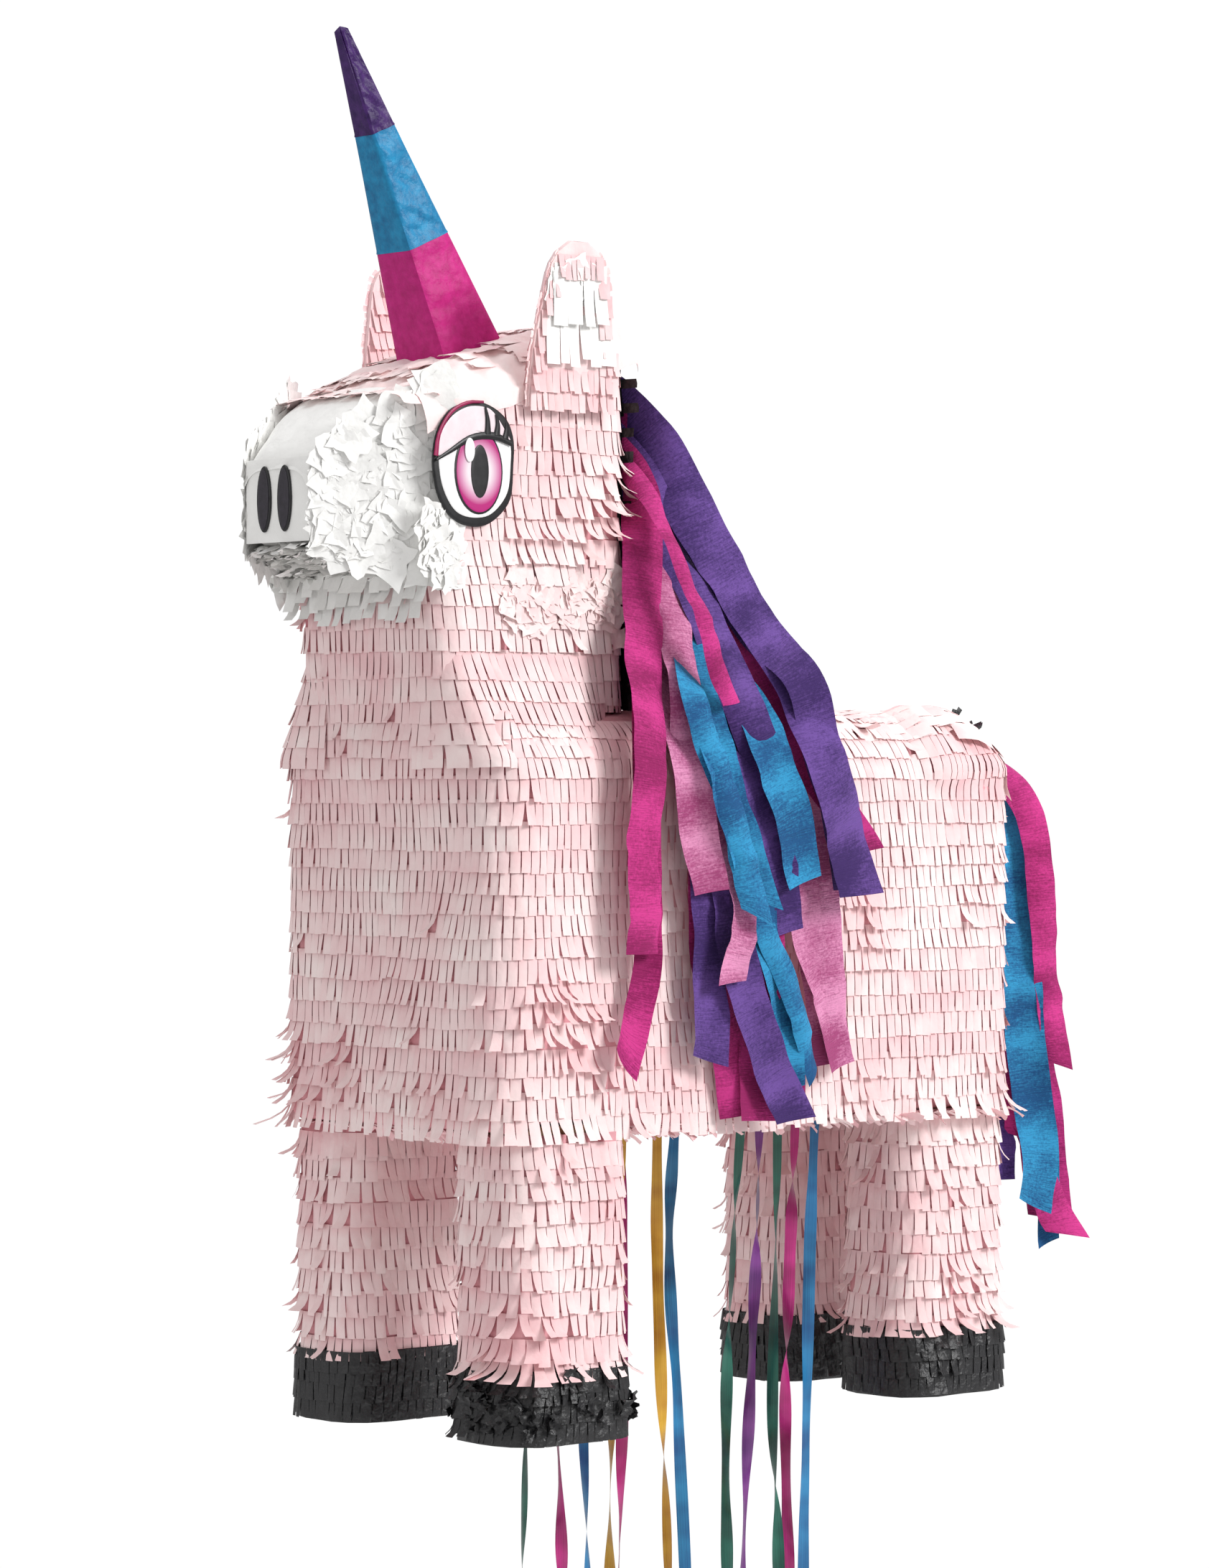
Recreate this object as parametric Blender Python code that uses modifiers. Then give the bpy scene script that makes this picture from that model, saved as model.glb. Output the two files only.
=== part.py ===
"""Hanging pull-ribbon unicorn pinata: card cartons, tissue covers, crepe streamers and two hinged flaps.

Metres, +Z up, nose towards -Y, mirror plane X = 0. The left side of the animal is +X.
Shapes are written above the plane under the hooves and shifted so the hanging loop is the origin.
"""
from math import cos, hypot, radians, sin

import bmesh
import bpy
from mathutils import Matrix, Vector
from mathutils.geometry import interpolate_bezier

PART_NAME = "unicorn_pinata"

# Driving dimensions.
HANG_Y = -0.015
HANG_Z = 0.312
GAP = 0.0003
TISSUE = 0.003
CARD = 0.003

# Side profiles as (y, z): front bottom, front top, back top, back bottom.
BODY_PROFILE = [(-0.133, 0.117), (-0.133, 0.277), (0.153, 0.277), (0.153, 0.117)]
BODY_HALVES = (-0.133, 0.070, 0.153, 0.064)
BODY_ROUND = {"x--": 0.008, "x-+": 0.010, "x+-": 0.010, "x++": 0.040,
              "y-": 0.008, "y+": 0.030, "z-": 0.018, "z+": 0.022}

BODY_CARD_ROUND = {key: radius + 0.004 for key, radius in BODY_ROUND.items()}

NECK_PROFILE = [(-0.140, 0.2773), (-0.1503, 0.3945), (-0.047, 0.4260), (-0.047, 0.2773)]
NECK_CARD_PROFILE = [(-0.1394, 0.2707), (-0.1503, 0.3945), (-0.047, 0.4260), (-0.047, 0.2707)]
NECK_OPEN_PROFILE = [(-0.1385, 0.2600), (-0.1503, 0.3945), (-0.047, 0.4260), (-0.047, 0.2600)]
NECK_HALVES = (-0.150, 0.045, -0.047, 0.045)
NECK_ROUND = {"x--": 0.0, "x-+": 0.010, "x+-": 0.0, "x++": 0.016,
              "y-": 0.0, "y+": 0.012, "z-": 0.012, "z+": 0.012}

SQUARE = dict.fromkeys(NECK_ROUND, 0.0)

NECK_CARD_ROUND = {key: radius + 0.003 if radius else 0.0 for key, radius in NECK_ROUND.items()}

MUZZLE_PROFILE = [(-0.185, 0.340), (-0.185, 0.370), (-0.1507, 0.3940), (-0.1450, 0.3290)]
MUZZLE_DEEP_PROFILE = [(-0.185, 0.340), (-0.185, 0.370), (-0.1445, 0.3983), (-0.1382, 0.3271)]
MUZZLE_HALVES = (-0.185, 0.0185, -0.1450, 0.0405)
MUZZLE_ROUND = {"x--": 0.005, "x-+": 0.005, "x+-": 0.0, "x++": 0.0,
                "y-": 0.006, "y+": 0.006, "z-": 0.005, "z+": 0.0}

LEG_WIDTH = 0.044
LEG_DEPTH = 0.058
LEG_ROUND = 0.014
LEG_CENTRES = {
    "front_left": (0.049, -0.0965),
    "front_right": (-0.049, -0.0965),
    "rear_left": (0.0365, 0.1215),
    "rear_right": (-0.0365, 0.1215),
}
HOOF_HEIGHT = 0.028
HOOF_EXTRA = 0.0015
HOOF_FLOOR = 0.0027

TRAP_X = (-0.036, 0.036)
TRAP_Y = (-0.052, 0.082)
TRAP_LEDGE = 0.005
TRAP_SLIT = (0.0012, 0.0064)
TAPE_THICKNESS = 0.0008

ROW_DROP = 0.0043
RIBBON_REACH = 0.0025

FILL_X = 0.034
FILL_Y = (0.020, 0.092)
FLAP_THICKNESS = 0.0027

LOOP_HALF = 0.010
LOOP_BOTTOM = 0.2598
LOOP_WIRE = 0.0024
LOOP_HOLE = 0.0042
DOWEL_RADIUS = 0.0045
DOWEL_Y = (-0.042, 0.012)
DOWEL_Z = 0.2659

HORN_BASE = (-0.100, 0.4122)
HORN_LEAN = 24.0
HORN_LENGTH = 0.134
HORN_HALF = 0.0155
HORN_TIP_HALF = 0.0022
HORN_BANDS = (0.0, 0.36, 0.70, 1.0)
HORN_PAPER = 0.0012
HORN_CARD = 0.0014

EAR_BASE_Y = -0.0825
EAR_BASE_Z = 0.392
EAR_HALF = 0.0215
EAR_HEIGHT = 0.070
EAR_THICKNESS = 0.0036
EAR_SPLAY = 6.0

EYE_Y = -0.129
EYE_Z = 0.369
EYE_HALF = (0.0205, 0.0235)
STICKER = 0.0008
NOSTRIL_X = 0.0062
NOSTRIL_Z = 0.3555
NOSTRIL_HALF = (0.0042, 0.0125)

MANE_BASE_X = (-0.012, 0.036)
MANE_BASE_Z = (0.286, 0.412)
MANE_BASE_THICKNESS = 0.0026
CREPE = 0.0010
STREAMER_SAMPLES = 15

TAIL_START = (0.1497, 0.2541)
TAIL_PITCH = 25.0
TAIL_LENGTH = 0.021
TAIL_RADIUS = 0.0065

RIBBON_DIAMETER = 0.005
RIBBON_STEPS = (0.055, 0.120, 0.190, 0.270, 0.350, 0.449)

# name: (colour, x, y, sideways drift (x, y) at each of RIBBON_STEPS below the trapdoor), in metres.
RIBBONS = {
    "ribbon_green_a": ("green_ribbon", -0.018, -0.044,
                       ((0.002, 0.000), (-0.001, -0.001), (-0.003, -0.002), (0.001, -0.001),
                        (0.004, 0.000), (0.002, 0.000))),
    "ribbon_magenta_a": ("magenta_ribbon", -0.018, -0.034,
                         ((-0.001, 0.001), (0.003, 0.001), (0.006, 0.001), (0.000, 0.001),
                          (-0.004, 0.000), (-0.002, 0.001))),
    "ribbon_magenta_b": ("magenta_ribbon", -0.018, 0.002,
                         ((0.002, 0.001), (0.003, 0.000), (0.002, -0.001), (0.003, 0.000),
                          (0.006, 0.001), (0.008, 0.000))),
    "ribbon_blue_a": ("blue_ribbon", -0.004, -0.025,
                      ((-0.002, -0.001), (-0.003, -0.001), (-0.001, 0.000), (0.000, 0.000),
                       (0.003, 0.001), (0.005, 0.001))),
    "ribbon_gold_a": ("gold_ribbon", -0.004, -0.008,
                      ((-0.001, -0.001), (-0.004, -0.002), (-0.006, -0.001), (-0.002, 0.000),
                       (0.002, 0.001), (0.000, 0.000))),
    "ribbon_yellow": ("gold_ribbon", -0.004, 0.011,
                      ((0.001, -0.001), (0.003, 0.000), (0.006, 0.001), (0.009, 0.000),
                       (0.008, 0.000), (0.004, 0.000))),
    "ribbon_blue_b": ("blue_ribbon", -0.004, 0.021,
                      ((-0.004, 0.000), (0.000, 0.001), (0.005, 0.001), (0.008, 0.002),
                       (0.007, 0.001), (0.003, 0.001))),
    "ribbon_green_b": ("green_ribbon", 0.022, 0.033,
                       ((-0.004, -0.001), (-0.008, -0.001), (-0.007, -0.001), (-0.004, 0.000),
                        (-0.006, 0.000), (-0.008, 0.000))),
    "ribbon_purple": ("purple_ribbon", 0.022, 0.043,
                      ((-0.002, 0.000), (-0.005, -0.001), (-0.009, -0.001), (-0.008, 0.000),
                       (-0.003, 0.000), (0.000, 0.000))),
    "ribbon_green_c": ("green_ribbon", 0.022, 0.053,
                       ((-0.001, 0.000), (-0.002, -0.001), (0.001, 0.000), (0.004, 0.000),
                        (0.002, 0.000), (-0.002, 0.000))),
    "ribbon_magenta_c": ("magenta_ribbon", 0.022, 0.063,
                         ((-0.003, 0.000), (-0.006, 0.000), (-0.005, 0.001), (-0.002, 0.000),
                          (-0.001, 0.000), (-0.003, 0.000))),
    "ribbon_blue_c": ("blue_ribbon", 0.022, 0.074,
                      ((-0.002, -0.001), (-0.004, -0.001), (-0.007, 0.000), (-0.006, 0.000),
                       (-0.002, 0.000), (0.001, 0.000))),
}

# name: (colour, width, centre line (x, y, z)), in metres above the plane under the hooves.
MANE = {
    "mane_purple_outer": ("purple_crepe", 0.017,
                          ((0.020, -0.0405, 0.410), (0.036, -0.030, 0.385), (0.052, -0.017, 0.346),
                           (0.066, -0.002, 0.312), (0.078, 0.009, 0.284), (0.0835, 0.015, 0.255),
                           (0.0835, 0.026, 0.229), (0.0835, 0.033, 0.205))),
    "mane_magenta_front": ("magenta_crepe", 0.013,
                           ((0.026, -0.0405, 0.386), (0.0415, -0.0395, 0.362), (0.054, -0.0500, 0.325),
                            (0.066, -0.0600, 0.295), (0.0785, -0.0700, 0.262), (0.0790, -0.0740, 0.225),
                            (0.0785, -0.0740, 0.184))),
    "mane_blue_front": ("blue_crepe", 0.013,
                        ((0.022, -0.0405, 0.366), (0.038, -0.034, 0.342), (0.060, -0.0370, 0.306),
                         (0.0760, -0.0400, 0.278), (0.0820, -0.0380, 0.250), (0.0820, -0.0280, 0.225),
                         (0.0820, -0.0180, 0.203))),
    "mane_blue_rear": ("blue_crepe", 0.014,
                       ((0.020, -0.0405, 0.346), (0.034, -0.0310, 0.326), (0.056, -0.0200, 0.300),
                        (0.0745, -0.0130, 0.277), (0.0808, -0.0090, 0.255), (0.0808, 0.0010, 0.232),
                        (0.0808, 0.0060, 0.210))),
    "mane_pink_front": ("pink_crepe", 0.013,
                        ((0.030, -0.0405, 0.334), (0.044, -0.0370, 0.316), (0.058, -0.0430, 0.294),
                         (0.0715, -0.0480, 0.275), (0.0785, -0.0490, 0.252), (0.0785, -0.0460, 0.230),
                         (0.0785, -0.0400, 0.207))),
    "mane_purple_inner": ("purple_crepe", 0.014,
                          ((0.018, -0.0405, 0.322), (0.034, -0.0300, 0.305), (0.056, -0.0250, 0.288),
                           (0.0715, -0.0200, 0.270), (0.0777, -0.0150, 0.246), (0.0777, -0.0060, 0.220),
                           (0.0777, 0.0000, 0.190))),
    "mane_purple_lower": ("purple_crepe", 0.014,
                          ((0.026, -0.0405, 0.311), (0.040, -0.0330, 0.296), (0.056, -0.0350, 0.2835),
                           (0.0680, -0.0370, 0.274), (0.0752, -0.0380, 0.250), (0.0752, -0.0370, 0.200),
                           (0.0752, -0.0360, 0.142))),
    "mane_magenta_lower": ("magenta_crepe", 0.014,
                           ((0.014, -0.0405, 0.304), (0.030, -0.0260, 0.294), (0.052, -0.0100, 0.2840),
                            (0.0690, -0.0040, 0.271), (0.0747, -0.0040, 0.245), (0.0747, -0.0080, 0.190),
                            (0.0747, -0.0110, 0.118))),
    "mane_pink_rear": ("pink_crepe", 0.016,
                       ((0.002, -0.0405, 0.298), (0.018, -0.0220, 0.291), (0.048, 0.0060, 0.2835),
                        (0.0665, 0.0150, 0.2715), (0.0737, 0.0180, 0.248), (0.0737, 0.0240, 0.200),
                        (0.0737, 0.0330, 0.139))),
}
TAIL = {
    "tail_magenta": ("magenta_crepe", 0.015,
                     ((0.000, 0.1735, 0.2660), (0.006, 0.1850, 0.2610), (0.012, 0.1950, 0.2420),
                      (0.015, 0.2000, 0.2100), (0.017, 0.2030, 0.1600), (0.020, 0.2080, 0.1050),
                      (0.022, 0.2120, 0.0640))),
    "tail_blue": ("blue_crepe", 0.014,
                  ((0.0085, 0.1690, 0.2560), (0.018, 0.1760, 0.2480), (0.025, 0.1820, 0.2250),
                   (0.028, 0.1850, 0.1850), (0.030, 0.1880, 0.1400), (0.032, 0.1930, 0.1000),
                   (0.033, 0.1900, 0.0710))),
}

# name: (colour, roughness, metallic).
FINISHES = {
    "card": ((0.60, 0.43, 0.26), 0.85, 0.0),
    "pink_tissue": ((0.93, 0.72, 0.75), 0.80, 0.0),
    "white_tissue": ((0.93, 0.93, 0.92), 0.75, 0.0),
    "black_crepe": ((0.02, 0.02, 0.025), 0.60, 0.0),
    "purple_crepe": ((0.20, 0.07, 0.38), 0.70, 0.0),
    "blue_crepe": ((0.02, 0.30, 0.60), 0.70, 0.0),
    "magenta_crepe": ((0.60, 0.03, 0.26), 0.70, 0.0),
    "pink_crepe": ((0.66, 0.16, 0.38), 0.70, 0.0),
    "eye_card": ((0.90, 0.90, 0.90), 0.40, 0.0),
    "nostril_card": ((0.03, 0.03, 0.035), 0.45, 0.0),
    "wire": ((0.75, 0.75, 0.78), 0.35, 1.0),
    "wood": ((0.62, 0.46, 0.28), 0.65, 0.0),
    "tape": ((0.85, 0.80, 0.62), 0.40, 0.0),
    "green_ribbon": ((0.02, 0.22, 0.13), 0.35, 0.0),
    "magenta_ribbon": ((0.65, 0.03, 0.30), 0.35, 0.0),
    "blue_ribbon": ((0.03, 0.25, 0.55), 0.35, 0.0),
    "gold_ribbon": ((0.80, 0.45, 0.05), 0.35, 0.0),
    "purple_ribbon": ((0.28, 0.08, 0.40), 0.35, 0.0),
}

parts = None
cutters = None


def at(x, y, z):
    """Point above the hoof plane, moved into the frame of the hanging loop."""
    return Vector((x, y - HANG_Y, z - HANG_Z))


def finish(name):
    """Material for one named finish."""
    found = bpy.data.materials.get(name)
    if found:
        return found
    colour, roughness, metallic = FINISHES[name]
    material = bpy.data.materials.new(name)
    material.use_nodes = True
    shader = material.node_tree.nodes["Principled BSDF"]
    shader.inputs["Base Color"].default_value = (*colour, 1.0)
    shader.inputs["Roughness"].default_value = roughness
    shader.inputs["Metallic"].default_value = metallic
    return material


def own_finish(name, base):
    """Material that belongs to one node only."""
    material = finish(base).copy()
    material.name = name + "_finish"
    return material


def add_object(name, data, base):
    """Put one finished sub-part into the part collection."""
    obj = bpy.data.objects.new(name, data)
    parts.objects.link(obj)
    data.materials.append(own_finish(name, base))
    return obj


def add_cutter(name, data):
    """Put one cutting solid into the hidden collection."""
    obj = bpy.data.objects.new(name, data)
    cutters.objects.link(obj)
    obj.hide_render = True
    obj.display_type = "WIRE"
    return obj


def mesh_from(name, bm):
    """Mesh data with outward faces from an edit mesh."""
    bmesh.ops.recalc_face_normals(bm, faces=bm.faces)
    mesh = bpy.data.meshes.new(name)
    bm.to_mesh(mesh)
    bm.free()
    return mesh


def cut(obj, *tools):
    """Take every tool solid away from the object."""
    for tool in tools:
        modifier = obj.modifiers.new("cut_" + tool.name, "BOOLEAN")
        modifier.operation = "DIFFERENCE"
        modifier.solver = "EXACT"
        modifier.object = tool


def hang_on(name, pivot, *children):
    """Empty on a joint's axis that carries the pieces that turn about it."""
    empty = bpy.data.objects.new(name, None)
    empty.empty_display_size = 0.01
    empty.location = pivot
    parts.objects.link(empty)
    for child in children:
        child.parent = empty
        child.matrix_parent_inverse = Matrix.Translation(-pivot)


def box_mesh(name, x_range, y_range, z_range):
    """Plain box between three ranges above the hoof plane."""
    bm = bmesh.new()
    bmesh.ops.create_cube(bm, size=2.0)
    for vert in bm.verts:
        x = x_range[vert.co.x > 0]
        y = y_range[vert.co.y > 0]
        z = z_range[vert.co.z > 0]
        vert.co = at(x, y, z)
    return mesh_from(name, bm)


def grown(profile, margin):
    """Side profile with each edge moved outwards by the margin."""
    lines = []
    for (y0, z0), (y1, z1) in zip(profile, profile[1:] + profile[:1]):
        length = hypot(y1 - y0, z1 - z0)
        normal_y = (z0 - z1) / length
        normal_z = (y1 - y0) / length
        lines.append((normal_y, normal_z, normal_y * y0 + normal_z * z0 + margin))
    corners = []
    for (ay, az, ac), (by, bz, bc) in zip(lines[-1:] + lines[:-1], lines):
        det = ay * bz - az * by
        corners.append(((ac * bz - az * bc) / det, (ay * bc - ac * by) / det))
    return corners


def edge_key(edge):
    """Name an edge of the unit cube by its direction and the sides it touches."""
    a, b = (vert.co for vert in edge.verts)
    sign = ["-" if value < 0 else "+" for value in (a + b)]
    if abs(a.x - b.x) > 1:
        return "x" + sign[1] + sign[2]
    if abs(a.y - b.y) > 1:
        return "y" + sign[2]
    return "z" + sign[1]


def block_mesh(name, profile, halves, rounding, margin, centre_x=0.0):
    """Six-sided block swept across X from a side profile, with a rounding weight on each edge."""
    corners = dict(zip(((-1, -1), (-1, 1), (1, 1), (1, -1)), grown(profile, margin)))
    y0, half0, y1, half1 = halves
    slope = (half1 - half0) / (y1 - y0)
    spread = margin * hypot(1.0, slope)
    largest = max(max(rounding.values()) + margin, GAP)
    bm = bmesh.new()
    bmesh.ops.create_cube(bm, size=2.0)
    weights = bm.edges.layers.float.new("bevel_weight_edge")
    for edge in bm.edges:
        radius = rounding[edge_key(edge)]
        edge[weights] = max(radius + margin, 0.0) / largest if radius > 0 else 0.0
    for vert in bm.verts:
        y, z = corners[(round(vert.co.y), round(vert.co.z))]
        half = half0 + slope * (y - y0) + spread
        vert.co = at(centre_x + round(vert.co.x) * half, y, z)
    return mesh_from(name, bm), largest


def round_edges(obj, width, segments=3):
    """Round the weighted edges of a block."""
    modifier = obj.modifiers.new("round", "BEVEL")
    modifier.limit_method = "WEIGHT"
    modifier.width = width
    modifier.segments = segments


def block_part(name, base, profile, halves, rounding, margin, centre_x=0.0):
    mesh, width = block_mesh(name, profile, halves, rounding, margin, centre_x)
    obj = add_object(name, mesh, base)
    round_edges(obj, width)
    return obj


def block_cutter(name, profile, halves, rounding, margin, centre_x=0.0):
    mesh, width = block_mesh(name, profile, halves, rounding, margin, centre_x)
    obj = add_cutter(name, mesh)
    if max(rounding.values()) > 0:
        round_edges(obj, width)
    return obj


def box_cutter(name, x_range, y_range, z_range):
    return add_cutter(name, box_mesh(name, x_range, y_range, z_range))


def rod_mesh(name, radius, start, end, segments=16):
    """Round rod between two points."""
    bm = bmesh.new()
    axis = end - start
    turn = axis.to_track_quat("Z", "Y").to_matrix().to_4x4()
    place = Matrix.Translation((start + end) / 2) @ turn
    bmesh.ops.create_cone(bm, cap_ends=True, segments=segments, radius1=radius, radius2=radius,
                          depth=axis.length, matrix=place)
    return mesh_from(name, bm)


def smooth_line(points, samples):
    """Points spread along a smooth curve that passes through every given point."""
    ghosts = [points[0] * 2 - points[1]] + list(points) + [points[-1] * 2 - points[-2]]
    dense = []
    for before, start, end, after in zip(ghosts, ghosts[1:], ghosts[2:], ghosts[3:]):
        handle_a = start + (end - before) / 6
        handle_b = end - (after - start) / 6
        dense.extend(interpolate_bezier(start, handle_a, handle_b, end, 12)[:-1])
    dense.append(points[-1])
    lengths = [0.0]
    for start, end in zip(dense, dense[1:]):
        lengths.append(lengths[-1] + (end - start).length)
    line = []
    index = 0
    for step in range(samples):
        target = lengths[-1] * step / (samples - 1)
        while index < len(dense) - 2 and lengths[index + 1] < target:
            index += 1
        span = lengths[index + 1] - lengths[index]
        line.append(dense[index].lerp(dense[index + 1], (target - lengths[index]) / span))
    return line


def tube(name, base, points, diameter, cyclic=False):
    """Round tube along a line of points, with closed ends."""
    curve = bpy.data.curves.new(name, "CURVE")
    curve.dimensions = "3D"
    curve.bevel_depth = diameter / 2
    curve.bevel_resolution = 2
    curve.use_fill_caps = not cyclic
    spline = curve.splines.new("POLY")
    spline.points.add(len(points) - 1)
    for slot, point in zip(spline.points, points):
        slot.co = (*point, 1.0)
    spline.use_cyclic_u = cyclic
    return add_object(name, curve, base)


def build_body():
    """Card torso with a filling hole on top and a trapdoor hole under the belly, and its tissue cover."""
    low = BODY_PROFILE[0][1]
    high = BODY_PROFILE[1][1]
    card = -TISSUE - GAP
    carton = block_part("body_carton", "card", BODY_PROFILE, BODY_HALVES, BODY_CARD_ROUND, card)
    tissue = block_part("body_tissue", "pink_tissue", BODY_PROFILE, BODY_HALVES, BODY_ROUND, 0.0)
    hollow = block_cutter("body_hollow", BODY_PROFILE, BODY_HALVES, BODY_CARD_ROUND, card - CARD)
    inside = block_cutter("body_tissue_inside", BODY_PROFILE, BODY_HALVES, BODY_ROUND, -TISSUE)
    neck = block_cutter("body_tissue_neck", NECK_OPEN_PROFILE, NECK_HALVES, SQUARE, -TISSUE)
    trap_x = (TRAP_X[0] + TRAP_LEDGE, TRAP_X[1] - TRAP_LEDGE)
    trap_y = (TRAP_Y[0] + TRAP_LEDGE, TRAP_Y[1] - TRAP_LEDGE)
    trap = box_cutter("body_trap_hole", trap_x, trap_y, (low - 0.01, low + 0.02))
    frame = box_cutter("body_trap_frame", (TRAP_X[0] - 0.0005, TRAP_X[1] + 0.0005),
                       (TRAP_Y[0] - 0.0005, TRAP_Y[1] + 0.0005), (low - 0.01, low + 0.005))
    fill_y = (FILL_Y[0] + TRAP_LEDGE, FILL_Y[1] - TRAP_LEDGE)
    fill = box_cutter("body_fill_hole", (-FILL_X + TRAP_LEDGE, FILL_X - TRAP_LEDGE), fill_y,
                      (high - 0.02, high + 0.01))
    rim = box_cutter("body_fill_frame", (-FILL_X - 0.0005, FILL_X + 0.0005),
                     (FILL_Y[0] - 0.0005, FILL_Y[1] + 0.0005), (high - 0.005, high + 0.01))
    holes = []
    for side, label in ((-1, "right"), (1, "left")):
        foot = at(side * LOOP_HALF, HANG_Y, high - 0.03)
        holes.append(add_cutter("loop_hole_" + label, rod_mesh("loop_hole_" + label, LOOP_HOLE / 2, foot,
                                                               foot + Vector((0, 0, 0.05)), 12)))
    cut(carton, hollow, trap, fill, *holes)
    cut(tissue, inside, neck, frame, rim, *holes)
    for leg, (x, y) in LEG_CENTRES.items():
        cut(tissue, leg_cutter("leg_gap_" + leg, x, y, -TISSUE, (low - 0.01, low + 0.005)))


def build_neck():
    """Tall card carton for neck and head, with its tissue cover and a window for the muzzle."""
    card = -TISSUE - GAP
    carton = block_part("neck_carton", "card", NECK_CARD_PROFILE, NECK_HALVES, NECK_CARD_ROUND, card)
    hollow = block_cutter("neck_hollow", NECK_CARD_PROFILE, NECK_HALVES, NECK_CARD_ROUND, card - CARD)
    base = box_cutter("neck_base_hole", (-0.025, 0.025), (-0.110, -0.065), (0.265, 0.290))
    cut(carton, hollow, base)
    tissue = block_part("neck_tissue", "pink_tissue", NECK_PROFILE, NECK_HALVES, NECK_ROUND, 0.0)
    inside = block_cutter("neck_tissue_inside", NECK_OPEN_PROFILE, NECK_HALVES, NECK_ROUND, -TISSUE)
    window = block_cutter("neck_window", MUZZLE_DEEP_PROFILE, MUZZLE_HALVES, MUZZLE_ROUND, -TISSUE)
    cut(tissue, inside, window)


def build_muzzle():
    """Tapered card muzzle open to the head, with its white tissue cover and two nostril stickers."""
    card = -TISSUE - GAP
    carton = block_part("muzzle_carton", "card", MUZZLE_DEEP_PROFILE, MUZZLE_HALVES, MUZZLE_ROUND, card)
    tissue = block_part("muzzle_tissue", "white_tissue", MUZZLE_PROFILE, MUZZLE_HALVES, MUZZLE_ROUND, 0.0)
    inside = block_cutter("muzzle_tissue_inside", MUZZLE_DEEP_PROFILE, MUZZLE_HALVES, MUZZLE_ROUND,
                          -TISSUE)
    open_profile = MUZZLE_DEEP_PROFILE[:2] + [(-0.130, 0.4085), (-0.120, 0.3221)]
    hollow = block_cutter("muzzle_hollow", open_profile, MUZZLE_HALVES, MUZZLE_ROUND, card - CARD)
    cut(carton, hollow)
    cut(tissue, inside)
    for side, label in ((1, "left"), (-1, "right")):
        outline = ellipse(NOSTRIL_HALF[0], NOSTRIL_HALF[1], 16)
        obj = flat_plate("nostril_" + label, "nostril_card", outline, STICKER)
        turn = Matrix.Rotation(radians(90), 4, "X")
        front = MUZZLE_PROFILE[0][0] - GAP - STICKER / 2
        obj.matrix_world = Matrix.Translation(at(side * NOSTRIL_X, front, NOSTRIL_Z)) @ turn


def ellipse(half_x, half_y, count):
    steps = (radians(360 * index / count) for index in range(count))
    return [(half_x * cos(angle), half_y * sin(angle)) for angle in steps]


def flat_plate(name, base, outline, thickness):
    """Flat plate in the local XY plane from a closed outline."""
    curve = bpy.data.curves.new(name, "CURVE")
    curve.dimensions = "2D"
    curve.fill_mode = "BOTH"
    curve.extrude = thickness / 2
    spline = curve.splines.new("POLY")
    spline.points.add(len(outline) - 1)
    for slot, (x, y) in zip(spline.points, outline):
        slot.co = (x, y, 0.0, 1.0)
    spline.use_cyclic_u = True
    return add_object(name, curve, base)


def leg_block(x, y, z_range):
    front = y - LEG_DEPTH / 2
    back = y + LEG_DEPTH / 2
    profile = [(front, z_range[0]), (front, z_range[1]), (back, z_range[1]), (back, z_range[0])]
    halves = (front, LEG_WIDTH / 2, back, LEG_WIDTH / 2)
    return profile, halves, {**SQUARE, "z-": LEG_ROUND, "z+": LEG_ROUND}


def leg_cutter(name, x, y, margin, z_range):
    """Upright cutting block with the leg's outline; z_range holds whatever the margin."""
    profile, halves, rounding = leg_block(x, y, (z_range[0] + margin, z_range[1] - margin))
    return block_cutter(name, profile, halves, rounding, margin, x)


def leg_part(name, base, x, y, margin, z_range):
    profile, halves, rounding = leg_block(x, y, (z_range[0] + margin, z_range[1] - margin))
    return block_part(name, base, profile, halves, rounding, margin, x)


def build_leg(leg, x, y):
    """Card leg tube with its pink tissue sleeve and black hoof cup."""
    top = BODY_PROFILE[0][1]
    card = -TISSUE - GAP
    floor = HOOF_FLOOR + GAP
    carton = leg_part("leg_carton_" + leg, "card", x, y, card, (floor, top + TISSUE - GAP))
    cut(carton, leg_cutter("leg_hollow_" + leg, x, y, card - CARD, (floor + CARD, top + 0.02)))
    sleeve = leg_part("leg_tissue_" + leg, "pink_tissue", x, y, 0.0, (HOOF_HEIGHT + GAP, top - GAP))
    hoof = leg_part("hoof_" + leg, "black_crepe", x, y, HOOF_EXTRA, (0.0, HOOF_HEIGHT))
    around = leg_cutter("leg_inside_" + leg, x, y, -TISSUE, (HOOF_FLOOR, top + 0.02))
    cut(sleeve, around)
    cut(hoof, around)


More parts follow.
